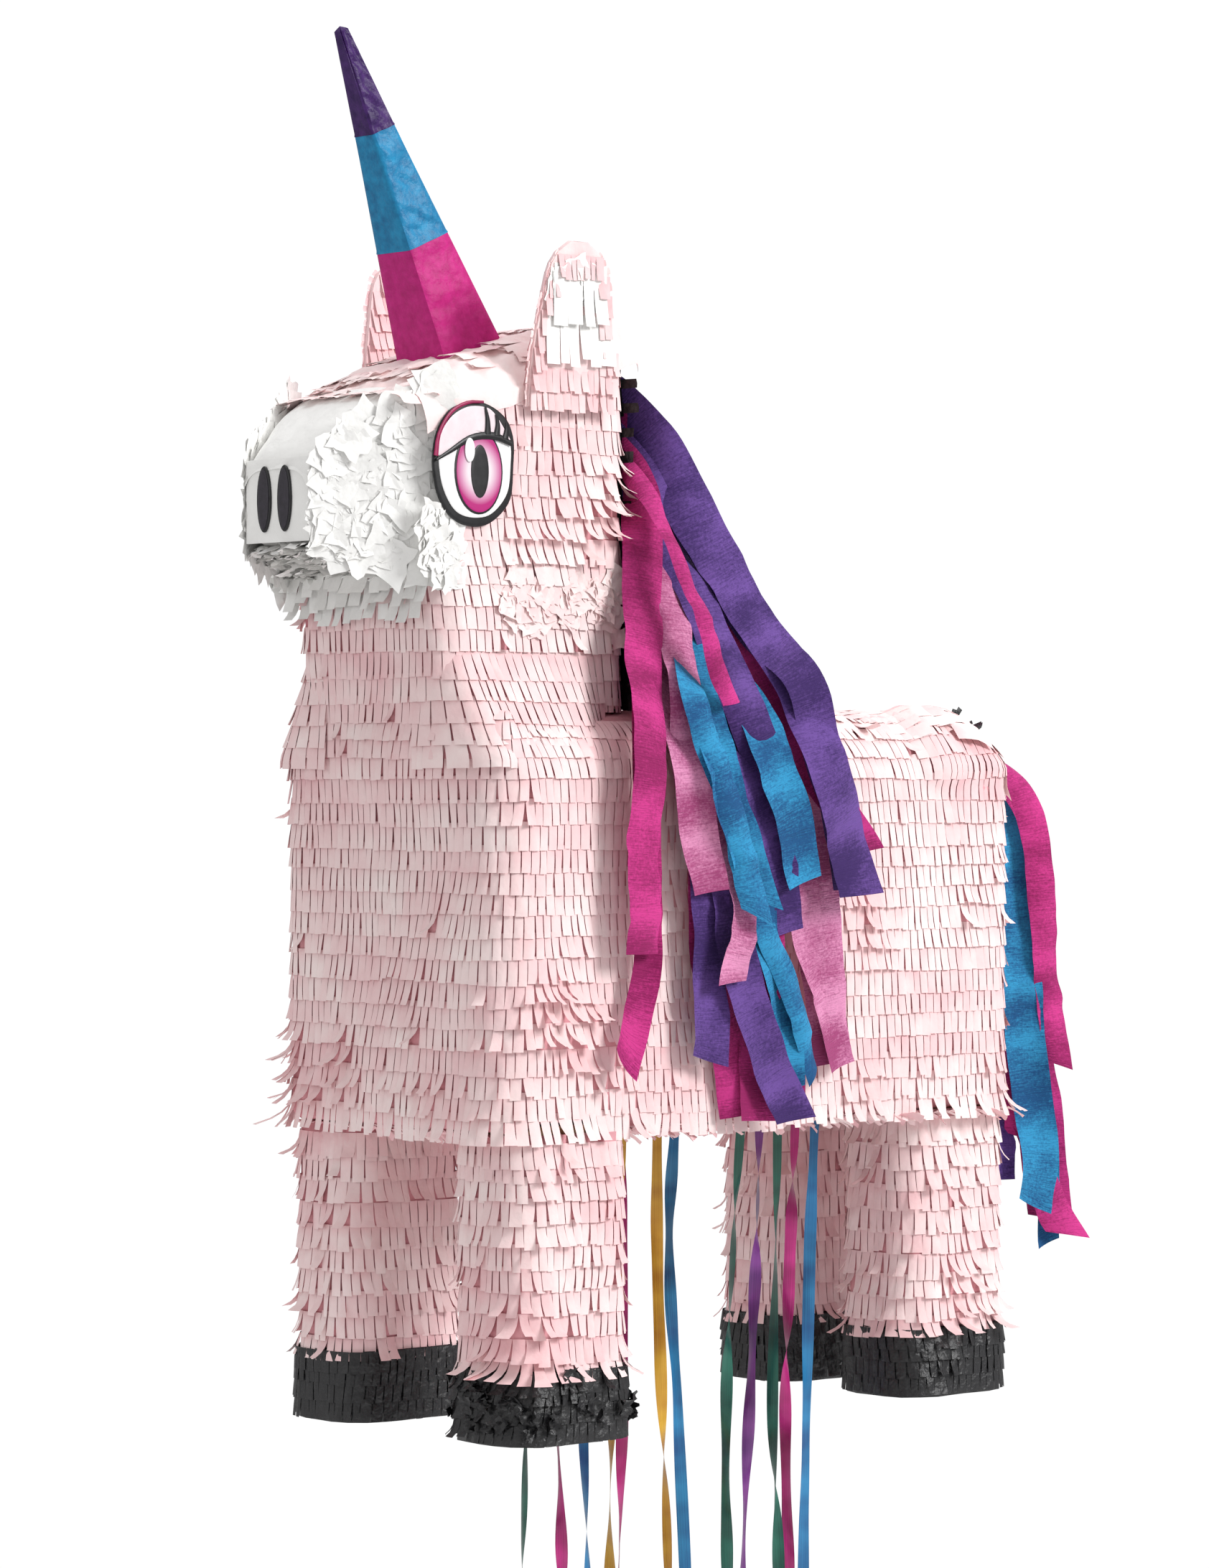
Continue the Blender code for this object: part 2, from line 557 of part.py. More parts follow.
def build_trapdoor():
    """Belly trapdoor with one slit for each pull ribbon, and the tape that holds the ribbons inside."""
    low = BODY_PROFILE[0][1]
    top = low + TISSUE
    mesh = box_mesh("trap_door", TRAP_X, TRAP_Y, (top - FLAP_THICKNESS, top))
    door = add_object("trap_door", mesh, "card")
    bm = bmesh.new()
    for colour, x, y, drift in RIBBONS.values():
        size = Matrix.Diagonal((TRAP_SLIT[0], TRAP_SLIT[1], 0.01, 1.0))
        bmesh.ops.create_cube(bm, size=1.0, matrix=Matrix.Translation(at(x, y, top)) @ size)
    cut(door, add_cutter("trap_slits", mesh_from("trap_slits", bm)))
    tape = box_mesh("ribbon_tape", (TRAP_X[0] + 0.010, TRAP_X[1] - 0.007),
                    (TRAP_Y[0] + 0.007, TRAP_Y[1] - 0.007), (top + GAP, top + GAP + TAPE_THICKNESS))
    tape = add_object("ribbon_tape", tape, "tape")
    hang_on("belly_door_axis", at(TRAP_X[0], sum(TRAP_Y) / 2, top - FLAP_THICKNESS), door, tape)


def build_fill_flap():
    """Card flap over the filling hole in the back."""
    high = BODY_PROFILE[1][1]
    mesh = box_mesh("fill_flap", (-FILL_X, FILL_X), FILL_Y, (high - TISSUE, high - TISSUE + FLAP_THICKNESS))
    flap = add_object("fill_flap", mesh, "card")
    hang_on("back_flap_axis", at(0, FILL_Y[1], high - TISSUE + FLAP_THICKNESS), flap)


def build_loop():
    """Wire hanging loop that passes under a wooden dowel inside the body."""
    dowel = rod_mesh("loop_dowel", DOWEL_RADIUS, at(0, DOWEL_Y[0], DOWEL_Z), at(0, DOWEL_Y[1], DOWEL_Z), 14)
    add_object("loop_dowel", dowel, "wood")
    top = HANG_Z + LOOP_WIRE / 2
    radius = LOOP_HALF
    arc = []
    for index in range(7):
        angle = radians(180 * index / 6)
        arc.append((cos(angle), sin(angle)))
    upper = [at(radius * c, HANG_Y, top - radius + radius * s) for c, s in arc]
    lower = [at(-radius * c, HANG_Y, LOOP_BOTTOM + radius - radius * s) for c, s in arc]
    tube("hang_loop", "wire", upper + lower, LOOP_WIRE, cyclic=True)


def horn_frame():
    """Local frame of the horn: origin at the base, +Z towards the tip."""
    return Matrix.Translation(at(0, HORN_BASE[0], HORN_BASE[1])) @ Matrix.Rotation(radians(HORN_LEAN), 4, "X")


def horn_half(share):
    return HORN_HALF + (HORN_TIP_HALF - HORN_HALF) * share


def pyramid_band(name, base, start, end, inset, thickness, closed):
    """Four-sided tapered paper band around the horn axis between two shares of its length."""
    lower = (horn_half(start) - inset) * 2 ** 0.5
    upper = (horn_half(end) - inset) * 2 ** 0.5
    depth = (end - start) * HORN_LENGTH
    bm = bmesh.new()
    turn = Matrix.Rotation(radians(45), 4, "Z")
    lift = Matrix.Translation((0, 0, start * HORN_LENGTH + depth / 2))
    bmesh.ops.create_cone(bm, cap_ends=False, segments=4, radius1=lower, radius2=upper, depth=depth,
                          matrix=lift @ turn)
    if closed:
        rim = [edge for edge in bm.edges if edge.is_boundary and edge.verts[0].co.z > lift.translation.z]
        bmesh.ops.edgeloop_fill(bm, edges=rim)
    obj = add_object(name, mesh_from(name, bm), base)
    shell = obj.modifiers.new("shell", "SOLIDIFY")
    shell.thickness = thickness
    shell.offset = -1.0
    shell.use_even_offset = True
    obj.matrix_world = horn_frame()
    return obj


def build_horn():
    """Card pyramid wrapped in three paper bands, with a tissue collar round its foot."""
    pyramid_band("horn_core", "card", 0.0, 0.93, HORN_PAPER + GAP, HORN_CARD, False)
    seam = GAP / HORN_LENGTH
    colours = ("magenta_crepe", "blue_crepe", "purple_crepe")
    names = ("horn_band_lower", "horn_band_middle", "horn_band_tip")
    for name, colour, start, end in zip(names, colours, HORN_BANDS, HORN_BANDS[1:]):
        pyramid_band(name, colour, start + seam, end, 0.0, HORN_PAPER, end == 1.0)
    bm = bmesh.new()
    lift = Matrix.Translation((0, 0, -0.001))
    turn = Matrix.Rotation(radians(45), 4, "Z")
    bmesh.ops.create_cone(bm, cap_ends=True, segments=4, radius1=0.0300, radius2=0.0255, depth=0.016,
                          matrix=lift @ turn)
    collar = add_object("horn_collar", mesh_from("horn_collar", bm), "pink_tissue")
    collar.matrix_world = horn_frame()
    round_corners = collar.modifiers.new("round", "BEVEL")
    round_corners.limit_method = "ANGLE"
    round_corners.width = 0.004
    round_corners.segments = 2
    bm = bmesh.new()
    half = HORN_HALF + 0.0006
    bmesh.ops.create_cone(bm, cap_ends=True, segments=4, radius1=half * 2 ** 0.5, radius2=half * 2 ** 0.5,
                          depth=0.05, matrix=turn)
    bore = add_cutter("collar_bore", mesh_from("collar_bore", bm))
    bore.matrix_world = horn_frame()
    head = block_cutter("collar_seat", NECK_PROFILE, NECK_HALVES, NECK_ROUND, GAP)
    cut(collar, bore, head)


def ear_outline():
    """Round-topped tab with its foot on the local X axis."""
    outline = [(EAR_HALF, 0.0), (EAR_HALF, 0.030)]
    for index in range(9):
        angle = radians(15 + 150 * index / 8)
        outline.append((EAR_HALF * 0.93 * cos(angle), 0.042 + (EAR_HEIGHT - 0.042) * sin(angle)))
    outline += [(-EAR_HALF, 0.030), (-EAR_HALF, 0.0)]
    return outline


def build_face():
    """Card ears and the two eye stickers, one on each side of the head."""
    for side, label in ((1, "left"), (-1, "right")):
        ear = flat_plate("ear_" + label, "pink_tissue", ear_outline(), EAR_THICKNESS)
        foot = NECK_HALVES[1] + GAP + EAR_THICKNESS / 2 + 0.0003
        upright = Matrix.Rotation(radians(90), 4, "Z") @ Matrix.Rotation(radians(90), 4, "X")
        splay = Matrix.Rotation(side * radians(EAR_SPLAY), 4, "Y")
        ear.matrix_world = Matrix.Translation(at(side * foot, EAR_BASE_Y, EAR_BASE_Z)) @ splay @ upright
        eye = flat_plate("eye_" + label, "eye_card", ellipse(EYE_HALF[0], EYE_HALF[1], 20), STICKER)
        skin = NECK_HALVES[1] + GAP + STICKER / 2
        eye.matrix_world = Matrix.Translation(at(side * skin, EYE_Y, EYE_Z)) @ upright


def crepe_strip(name, base, width, points, root_normal, end_normal):
    """Hanging crepe streamer: a thin strip that turns from its root to face outwards."""
    line = smooth_line([at(*point) for point in points], STREAMER_SAMPLES)
    bm = bmesh.new()
    rows = []
    for index, point in enumerate(line):
        share = index / (len(line) - 1)
        turn = min(share / 0.35, 1.0)
        normal = Vector(root_normal).lerp(Vector(end_normal), turn * turn * (3 - 2 * turn))
        along = line[min(index + 1, len(line) - 1)] - line[max(index - 1, 0)]
        across = normal.cross(along).normalized() * width / 2 * min(0.55 + share * 3, 1.0)
        rows.append((bm.verts.new(point - across), bm.verts.new(point + across)))
    for (a, b), (c, d) in zip(rows, rows[1:]):
        bm.faces.new((a, b, d, c))
    obj = add_object(name, mesh_from(name, bm), base)
    shell = obj.modifiers.new("shell", "SOLIDIFY")
    shell.thickness = CREPE
    shell.offset = 0.0


def build_mane():
    """Black backing strip behind the neck with nine crepe streamers that fall over the left shoulder."""
    back = NECK_PROFILE[2][0] + GAP
    mesh = box_mesh("mane_base", MANE_BASE_X, (back, back + MANE_BASE_THICKNESS), MANE_BASE_Z)
    add_object("mane_base", mesh, "black_crepe")
    for name, (colour, width, points) in MANE.items():
        crepe_strip(name, colour, width, points, (0, 1, 0), (1, 0, 0))


def build_tail():
    """Black tail stub on the rump with two crepe streamers."""
    start = at(0, *TAIL_START)
    pitch = radians(TAIL_PITCH)
    end = start + Vector((0, cos(pitch), sin(pitch))) * TAIL_LENGTH
    add_object("tail_root", rod_mesh("tail_root", TAIL_RADIUS, start, end, 12), "black_crepe")
    for name, (colour, width, points) in TAIL.items():
        crepe_strip(name, colour, width, points, (0.3, 0.2, 1), (1, 0, 0))


def build_ribbons():
    """Pull ribbons that hang from the slits in the trapdoor, each turning a little below its slit."""
    turn = BODY_PROFILE[0][1] + TISSUE - FLAP_THICKNESS - ROW_DROP
    start = turn + RIBBON_REACH
    rows = {}
    for name, (colour, x, y, drift) in RIBBONS.items():
        points = [at(x, y, start)]
        for step, (dx, dy) in zip(RIBBON_STEPS, drift):
            points.append(at(x + dx, y + dy, start - step))
        ribbon = tube(name, colour, smooth_line(points, 31), RIBBON_DIAMETER)
        rows.setdefault(x, []).append(ribbon)
    for index, (x, ribbons) in enumerate(rows.items()):
        hang_on(f"ribbon_row_axis_{index}", at(x, sum(TRAP_Y) / 2, turn), *ribbons)


def main():
    global parts, cutters
    for obj in list(bpy.data.objects):
        bpy.data.objects.remove(obj, do_unlink=True)
    parts = bpy.data.collections.new(PART_NAME)
    cutters = bpy.data.collections.new(PART_NAME + "_cutters")
    bpy.context.scene.collection.children.link(parts)
    bpy.context.scene.collection.children.link(cutters)
    build_body()
    build_neck()
    build_muzzle()
    for leg, (x, y) in LEG_CENTRES.items():
        build_leg(leg, x, y)
    build_trapdoor()
    build_fill_flap()
    build_loop()
    build_horn()
    build_face()
    build_mane()
    build_tail()
    build_ribbons()


main()
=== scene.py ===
"""Looks of the hanging pull-ribbon unicorn pinata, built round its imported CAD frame.

Metres, +Z up, nose towards -Y, mirror plane X = 0, the origin under the top of the hanging loop.
"""

import random
from math import asin, cos, hypot, pi, radians, sin, sqrt

import bmesh
import bpy
from mathutils import Matrix, Vector, noise
from mathutils.geometry import interpolate_bezier


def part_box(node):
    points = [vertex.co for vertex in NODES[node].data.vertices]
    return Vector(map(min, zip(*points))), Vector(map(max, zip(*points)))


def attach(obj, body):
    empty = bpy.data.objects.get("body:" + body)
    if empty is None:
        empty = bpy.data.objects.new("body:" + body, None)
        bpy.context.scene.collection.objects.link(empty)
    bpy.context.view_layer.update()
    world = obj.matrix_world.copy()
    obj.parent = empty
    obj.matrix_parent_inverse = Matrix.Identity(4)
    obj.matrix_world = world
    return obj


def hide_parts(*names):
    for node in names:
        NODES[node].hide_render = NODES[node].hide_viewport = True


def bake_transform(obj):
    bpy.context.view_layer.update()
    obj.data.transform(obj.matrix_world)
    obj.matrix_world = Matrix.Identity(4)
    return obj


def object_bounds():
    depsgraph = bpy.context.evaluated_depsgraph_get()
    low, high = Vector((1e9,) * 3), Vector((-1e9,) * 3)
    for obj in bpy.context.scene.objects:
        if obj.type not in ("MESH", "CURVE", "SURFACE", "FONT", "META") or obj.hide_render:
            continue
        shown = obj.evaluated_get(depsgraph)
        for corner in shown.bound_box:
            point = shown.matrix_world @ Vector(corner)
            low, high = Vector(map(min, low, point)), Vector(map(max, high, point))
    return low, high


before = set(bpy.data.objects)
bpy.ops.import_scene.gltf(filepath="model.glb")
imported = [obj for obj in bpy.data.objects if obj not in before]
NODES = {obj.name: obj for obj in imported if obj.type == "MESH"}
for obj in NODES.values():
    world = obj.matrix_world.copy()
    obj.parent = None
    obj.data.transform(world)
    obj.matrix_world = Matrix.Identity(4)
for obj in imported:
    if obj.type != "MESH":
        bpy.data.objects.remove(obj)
cad_low, cad_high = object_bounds()

BODY_LOW, BODY_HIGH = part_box("body_tissue")
NECK_LOW, NECK_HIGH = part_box("neck_tissue")
MUZZLE_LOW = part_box("muzzle_tissue")[0]
DOOR_LOW, DOOR_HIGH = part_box("trap_door")
FLAP_LOW, FLAP_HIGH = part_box("fill_flap")
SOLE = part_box("hoof_front_left")[0].z
HANG_Y = -0.015
LEGS = ("front_left", "front_right", "rear_left", "rear_right")


def at(x, y, z):
    """Point above the hoof plane, moved into the frame of the hanging loop."""
    return Vector((x, y - HANG_Y, z + SOLE))


def ease(x):
    """Smooth step from 0 to 1."""
    x = min(max(x, 0.0), 1.0)
    return x * x * (3 - 2 * x)


# ---------------------------------------------------------------- camera

def add_camera():
    """Long lens, level with the neck, looking at the left front of the animal."""
    data = bpy.data.cameras.new("camera")
    data.sensor_width = 36.0
    data.lens = 115.4
    data.clip_end = 100.0
    camera = bpy.data.objects.new("camera", data)
    camera.location = (1.4955, -1.3297, -0.0636)
    camera.rotation_euler = Vector((-0.749, 0.663, 0.0)).to_track_quat("-Z", "Y").to_euler()
    bpy.context.scene.collection.objects.link(camera)
    bpy.context.scene.camera = camera


add_camera()

# ---------------------------------------------------------------- materials


class Shade:
    """Node tree under construction."""

    def __init__(self, name):
        self.material = bpy.data.materials.new(name)
        self.material.use_nodes = True
        self.tree = self.material.node_tree
        self.shader = self.tree.nodes["Principled BSDF"]

    def node(self, kind, **values):
        made = self.tree.nodes.new(kind)
        for key, value in values.items():
            if key in made.inputs:
                made.inputs[key].default_value = value
            else:
                setattr(made, key, value)
        return made

    def link(self, out, into):
        self.tree.links.new(out, into)

    def coords(self, stretch, use_uv):
        place = self.node("ShaderNodeTexCoord")
        mapping = self.node("ShaderNodeMapping")
        mapping.inputs["Scale"].default_value = stretch
        self.link(place.outputs["UV" if use_uv else "Object"], mapping.inputs["Vector"])
        return mapping.outputs["Vector"]

    def grain(self, coords, scale, detail=3.0, rough=0.55):
        made = self.node("ShaderNodeTexNoise", Scale=scale, Detail=detail, Roughness=rough)
        self.link(coords, made.inputs["Vector"])
        return made.outputs["Fac"]

    def mixed(self, a, b, share):
        """Number that goes from a to b by a fixed share."""
        made = self.node("ShaderNodeMix")
        made.inputs[0].default_value = share
        self.link(a, made.inputs[2])
        self.link(b, made.inputs[3])
        return made.outputs[0]

    def ramp(self, value, stops):
        made = self.node("ShaderNodeValToRGB")
        elements = made.color_ramp.elements
        while len(elements) < len(stops):
            elements.new(0.5)
        for element, (place, colour) in zip(elements, stops):
            element.position = place
            element.color = (*colour, 1.0)
        self.link(value, made.inputs["Fac"])
        return made.outputs["Color"]

    def bump(self, height, strength, distance, before=None):
        made = self.node("ShaderNodeBump", Strength=strength, Distance=distance)
        self.link(height, made.inputs["Height"])
        if before:
            self.link(before, made.inputs["Normal"])
        return made.outputs["Normal"]


def tissue(name, dark, light, grain, rough=0.85, crinkle=0.35, toned=0.6, stretch=(1, 1, 1), use_uv=False,
           sheen=0.0, fine=6.0):
    """Thin paper: mottled colour, a tone for each cut finger (darker at its root as painted shade), and crinkles."""
    shade = Shade(name)
    coords = shade.coords(stretch, use_uv)
    mottle = shade.grain(coords, grain)
    tone = shade.node("ShaderNodeAttribute")
    tone.attribute_name = "tone"
    value = shade.mixed(mottle, tone.outputs["Fac"], toned)
    middle = tuple((a + b) / 2 for a, b in zip(dark, light))
    shade.link(shade.ramp(value, [(0.22, dark), (0.5, middle), (0.78, light)]), shade.shader.inputs["Base Color"])
    small = shade.grain(coords, grain * fine, 4.0, 0.6)
    big = shade.grain(coords, grain * 1.7, 2.0, 0.5)
    normal = shade.bump(big, crinkle, 0.0016)
    shade.link(shade.bump(small, crinkle * 0.8, 0.0004, normal), shade.shader.inputs["Normal"])
    shade.shader.inputs["Roughness"].default_value = rough
    shade.shader.inputs["Specular IOR Level"].default_value = 0.25
    if sheen:
        shade.shader.inputs["Sheen Weight"].default_value = sheen
        shade.shader.inputs["Sheen Roughness"].default_value = 0.5
    return shade.material


def crepe(name, dark, light, rough=0.75):
    """Crepe streamer: ridges across the strip with painted shade in their valleys, and faded patches along it."""
    shade = Shade(name)
    ridges = shade.grain(shade.coords((150, 1500, 1), True), 1.0, 3.0, 0.6)
    fade = shade.grain(shade.coords((25, 38, 1), True), 1.0, 2.0, 0.5)
    specks = shade.grain(shade.coords((1, 1, 1), False), 900.0, 3.0, 0.7)
    # The ridge noise, which also drives the bump, darkens the colour in the ridge valleys: painted shade in the crepe
    # creases. The faded patches and the specks are the paper's own uneven tone.
    value = shade.mixed(shade.mixed(fade, ridges, 0.30), specks, 0.25)
    middle = tuple(a * 0.55 + b * 0.45 for a, b in zip(dark, light))
    shade.link(shade.ramp(value, [(0.43, dark), (0.5, middle), (0.57, light)]), shade.shader.inputs["Base Color"])
    normal = shade.bump(ridges, 0.85, 0.0010)
    shade.link(shade.bump(specks, 0.25, 0.0003, normal), shade.shader.inputs["Normal"])
    shade.shader.inputs["Roughness"].default_value = rough
    shade.shader.inputs["Specular IOR Level"].default_value = 0.3
    shade.shader.inputs["Sheen Weight"].default_value = 0.04
    return shade.material


def satin(name, dark, light):
    """Curling ribbon: glossy, with fine lines along its length."""
    shade = Shade(name)
    lines = shade.grain(shade.coords((2600, 20, 1), True), 1.0, 2.0, 0.5)
    drift = shade.grain(shade.coords((40, 60, 1), True), 1.0, 2.0, 0.5)
    value = shade.mixed(drift, lines, 0.35)
    shade.link(shade.ramp(value, [(0.35, dark), (0.65, light)]), shade.shader.inputs["Base Color"])
    shade.link(shade.bump(lines, 0.3, 0.0002), shade.shader.inputs["Normal"])
    shade.shader.inputs["Roughness"].default_value = 0.32
    shade.shader.inputs["Coat Weight"].default_value = 0.3
    shade.shader.inputs["Coat Roughness"].default_value = 0.2
    return shade.material


def solid(name, dark, light, grain, rough, metallic=0.0, stretch=(1, 1, 1), bump=0.15, distance=0.0004):
    """Card, wood, wire and stickers."""
    shade = Shade(name)
    coords = shade.coords(stretch, False)
    value = shade.grain(coords, grain, 5.0, 0.6)
    shade.link(shade.ramp(value, [(0.3, dark), (0.7, light)]), shade.shader.inputs["Base Color"])
    shade.link(shade.bump(value, bump, distance), shade.shader.inputs["Normal"])
    spread = shade.node("ShaderNodeMapRange")
    spread.inputs["To Min"].default_value = max(rough - 0.08, 0.05)
    spread.inputs["To Max"].default_value = min(rough + 0.08, 1.0)
    shade.link(value, spread.inputs["Value"])
    shade.link(spread.outputs["Result"], shade.shader.inputs["Roughness"])
    shade.shader.inputs["Metallic"].default_value = metallic
    return shade.material


PINK = tissue("pink_tissue_paper", (0.84, 0.47, 0.50), (0.99, 0.86, 0.84), 90.0)
# Pink tissue ground under the fringe, coloured darker than the fingers: painted shade that shows in the slits between
# them.
PINK_SHADE_GROUND = tissue("pink_ground_painted_shade", (0.62, 0.24, 0.28), (0.80, 0.44, 0.47), 120.0, toned=0.0)
WHITE = tissue("white_tissue_paper", (0.76, 0.75, 0.73), (0.97, 0.97, 0.95), 110.0)
BLACK = tissue("black_crepe_paper", (0.002, 0.002, 0.003), (0.014, 0.014, 0.016), 140.0, rough=0.42, crinkle=0.8)
BLACK.node_tree.nodes["Principled BSDF"].inputs["Specular IOR Level"].default_value = 0.6
PURPLE = crepe("purple_crepe_paper", (0.045, 0.016, 0.125), (0.155, 0.072, 0.330))
BLUE = crepe("blue_crepe_paper", (0.006, 0.085, 0.240), (0.030, 0.320, 0.600))
MAGENTA = crepe("magenta_crepe_paper", (0.300, 0.008, 0.110), (0.660, 0.040, 0.270))
ROSE = crepe("pink_crepe_paper", (0.380, 0.060, 0.190), (0.780, 0.300, 0.520))
HORN_MAGENTA = tissue("horn_magenta_paper", (0.42, 0.008, 0.15), (0.62, 0.022, 0.25), 260.0, rough=0.5,
                      toned=0.0, crinkle=0.25)
HORN_BLUE = tissue("horn_blue_paper", (0.008, 0.13, 0.30), (0.02, 0.30, 0.56), 260.0, rough=0.42, toned=0.0,
                   crinkle=0.25)
HORN_PURPLE = tissue("horn_purple_paper", (0.022, 0.006, 0.065), (0.075, 0.024, 0.16), 260.0, rough=0.42,
                     toned=0.0, crinkle=0.25)
CARD = solid("brown_card", (0.34, 0.21, 0.11), (0.52, 0.35, 0.20), 300.0, 0.85, stretch=(1, 1, 6))
WOOD = solid("dowel_wood", (0.36, 0.22, 0.10), (0.60, 0.42, 0.22), 60.0, 0.6, stretch=(8, 1, 8))
WIRE = solid("steel_wire", (0.42, 0.42, 0.44), (0.68, 0.68, 0.70), 400.0, 0.35, metallic=1.0)
TAPE = solid("paper_tape", (0.62, 0.55, 0.36), (0.80, 0.74, 0.55), 200.0, 0.45, stretch=(1, 5, 1))
EYE_WHITE = solid("sticker_white", (0.80, 0.80, 0.80), (0.88, 0.88, 0.88), 300.0, 0.4, bump=0.05)
EYE_BLACK = solid("sticker_black", (0.004, 0.004, 0.005), (0.012, 0.012, 0.014), 300.0, 0.4, bump=0.05)
EYE_LID = solid("sticker_lid", (0.80, 0.66, 0.70), (0.86, 0.76, 0.79), 200.0, 0.4, bump=0.05)
EYE_CRIMSON = solid("sticker_crimson", (0.25, 0.005, 0.06), (0.36, 0.01, 0.09), 300.0, 0.4, bump=0.05)
NOSTRIL = solid("sticker_charcoal", (0.012, 0.009, 0.016), (0.030, 0.024, 0.038), 500.0, 0.4, bump=0.1)
RIBBON_PAINTS = {
    "green_ribbon": satin("green_curling_ribbon", (0.004, 0.045, 0.035), (0.020, 0.160, 0.110)),
    "magenta_ribbon": satin("magenta_curling_ribbon", (0.260, 0.006, 0.090), (0.560, 0.030, 0.240)),
    "blue_ribbon": satin("blue_curling_ribbon", (0.008, 0.080, 0.240), (0.030, 0.260, 0.520)),
    "gold_ribbon": satin("gold_curling_ribbon", (0.420, 0.170, 0.010), (0.760, 0.460, 0.050)),
    "purple_ribbon": satin("purple_curling_ribbon", (0.080, 0.012, 0.120), (0.230, 0.050, 0.280)),
}

# ---------------------------------------------------------------- mesh helpers


class Cut:
    """Gathers grids of faces for one object, with a tone and a flat place for each point."""

    def __init__(self):
        self.points = []
        self.faces = []
        self.tones = []
        self.flat = []

    def grid(self, rows, tone=0.5, wrap=False, flat=None):
        """Quads between rows of points; each row has the same count."""
        base = len(self.points)
        count = len(rows[0])
        for i, row in enumerate(rows):
            self.points.extend(row)
            for j in range(count):
                self.tones.append(tone[i] if isinstance(tone, list) else tone)
                self.flat.append(flat[i][j] if flat else (0.0, 0.0))
        for i in range(len(rows) - 1):
            for j in range(count if wrap else count - 1):
                a = base + i * count + j
                b = base + i * count + (j + 1) % count
                self.faces.append((a, b, b + count, a + count))

    def fan(self, rim, centre, tone=0.5):
        """Triangles from a closed rim to its centre."""
        base = len(self.points)
        self.points.extend(rim)
        self.points.append(centre)
        self.tones.extend([tone] * (len(rim) + 1))
        self.flat.extend([(0.0, 0.0)] * (len(rim) + 1))
        for j in range(len(rim)):
            self.faces.append((base + j, base + (j + 1) % len(rim), base + len(rim)))

    def mesh(self, name, smooth=True):
        mesh = bpy.data.meshes.new(name)
        mesh.from_pydata([tuple(p) for p in self.points], [], self.faces)
        tone = mesh.attributes.new("tone", "FLOAT", "POINT")
        tone.data.foreach_set("value", self.tones)
        layer = mesh.uv_layers.new(name="UVMap")
        flat = []
        for loop in mesh.loops:
            flat.extend(self.flat[loop.vertex_index])
        layer.data.foreach_set("uv", flat)
        if smooth:
            mesh.shade_smooth()
        return mesh


def place(name, mesh, paint, body, slot=None, replaces=()):
    """Object for a finished mesh, riding a body."""
    obj = bpy.data.objects.new(name, mesh)
    bpy.context.scene.collection.objects.link(obj)
    mesh.materials.clear()
    for one in paint if isinstance(paint, (list, tuple)) else (paint,):
        mesh.materials.append(one)
    if body:
        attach(obj, body)
    if replaces:
        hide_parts(*replaces)
    return obj


def smooth_line(points, samples):
    """Points spread along a smooth curve that passes through every given point."""
    ghosts = [points[0] * 2 - points[1]] + list(points) + [points[-1] * 2 - points[-2]]
    dense = []
    for before, start, end, after in zip(ghosts, ghosts[1:], ghosts[2:], ghosts[3:]):
        handle_a = start + (end - before) / 6
        handle_b = end - (after - start) / 6
        dense.extend(interpolate_bezier(start, handle_a, handle_b, end, 12)[:-1])
    dense.append(points[-1])
    lengths = [0.0]
    for start, end in zip(dense, dense[1:]):
        lengths.append(lengths[-1] + (end - start).length)
    line = []
    index = 0
    for step in range(samples):
        target = lengths[-1] * step / (samples - 1)
        while index < len(dense) - 2 and lengths[index + 1] < target:
            index += 1
        span = lengths[index + 1] - lengths[index]
        line.append(dense[index].lerp(dense[index + 1], (target - lengths[index]) / span))
    return line


def waver(seed, place_along, scale):
    """Smooth noise between about -1 and 1 along a line."""
    return noise.noise(Vector((place_along * scale, seed * 7.31, seed * 1.7))) * 1.6


class Ring:
    """Closed rounded outline round the Z axis, from the middle of its front edge, counter-clockwise."""

    def __init__(self, corners):
        start = (Vector(corners[-1][:2]) + Vector(corners[0][:2])) / 2
        path = [start]
        count = len(corners)
        for i, (x, y, radius) in enumerate(corners):
            here = Vector((x, y))
            back = (Vector(corners[i - 1][:2]) - here).normalized()
            ahead = (Vector(corners[(i + 1) % count][:2]) - here).normalized()
            half = back.angle(ahead) / 2
            reach = radius / (sin(half) / cos(half))
            centre = here + (back + ahead).normalized() * (radius / sin(half))
            first = here + back * reach - centre
            last = here + ahead * reach - centre
            for step in range(9):
                turn = first.lerp(last, step / 8).normalized() * radius
                path.append(centre + turn)
        path.append(start.copy())
        self.path = path
        self.lengths = [0.0]
        for a, b in zip(path, path[1:]):
            self.lengths.append(self.lengths[-1] + (b - a).length)
        self.total = self.lengths[-1]

    def at(self, a):
        """(x, y, outward x, outward y) at a length along the outline."""
        a %= self.total
        low, high = 0, len(self.lengths) - 1
        while high - low > 1:
            middle = (low + high) // 2
            if self.lengths[middle] <= a:
                low = middle
            else:
                high = middle
        span = self.lengths[low + 1] - self.lengths[low]
        share = (a - self.lengths[low]) / span
        here, ahead = self.path[low], self.path[low + 1]
        point = here.lerp(ahead, share)
        before = self.path[low - 1] if low else self.path[-2]
        after = self.path[low + 2] if low + 2 < len(self.path) else self.path[1]
        way_a = (ahead - before).normalized()
        way_b = (after - here).normalized()
        way = way_a.lerp(way_b, share).normalized()
        return point.x, point.y, way.y, -way.x


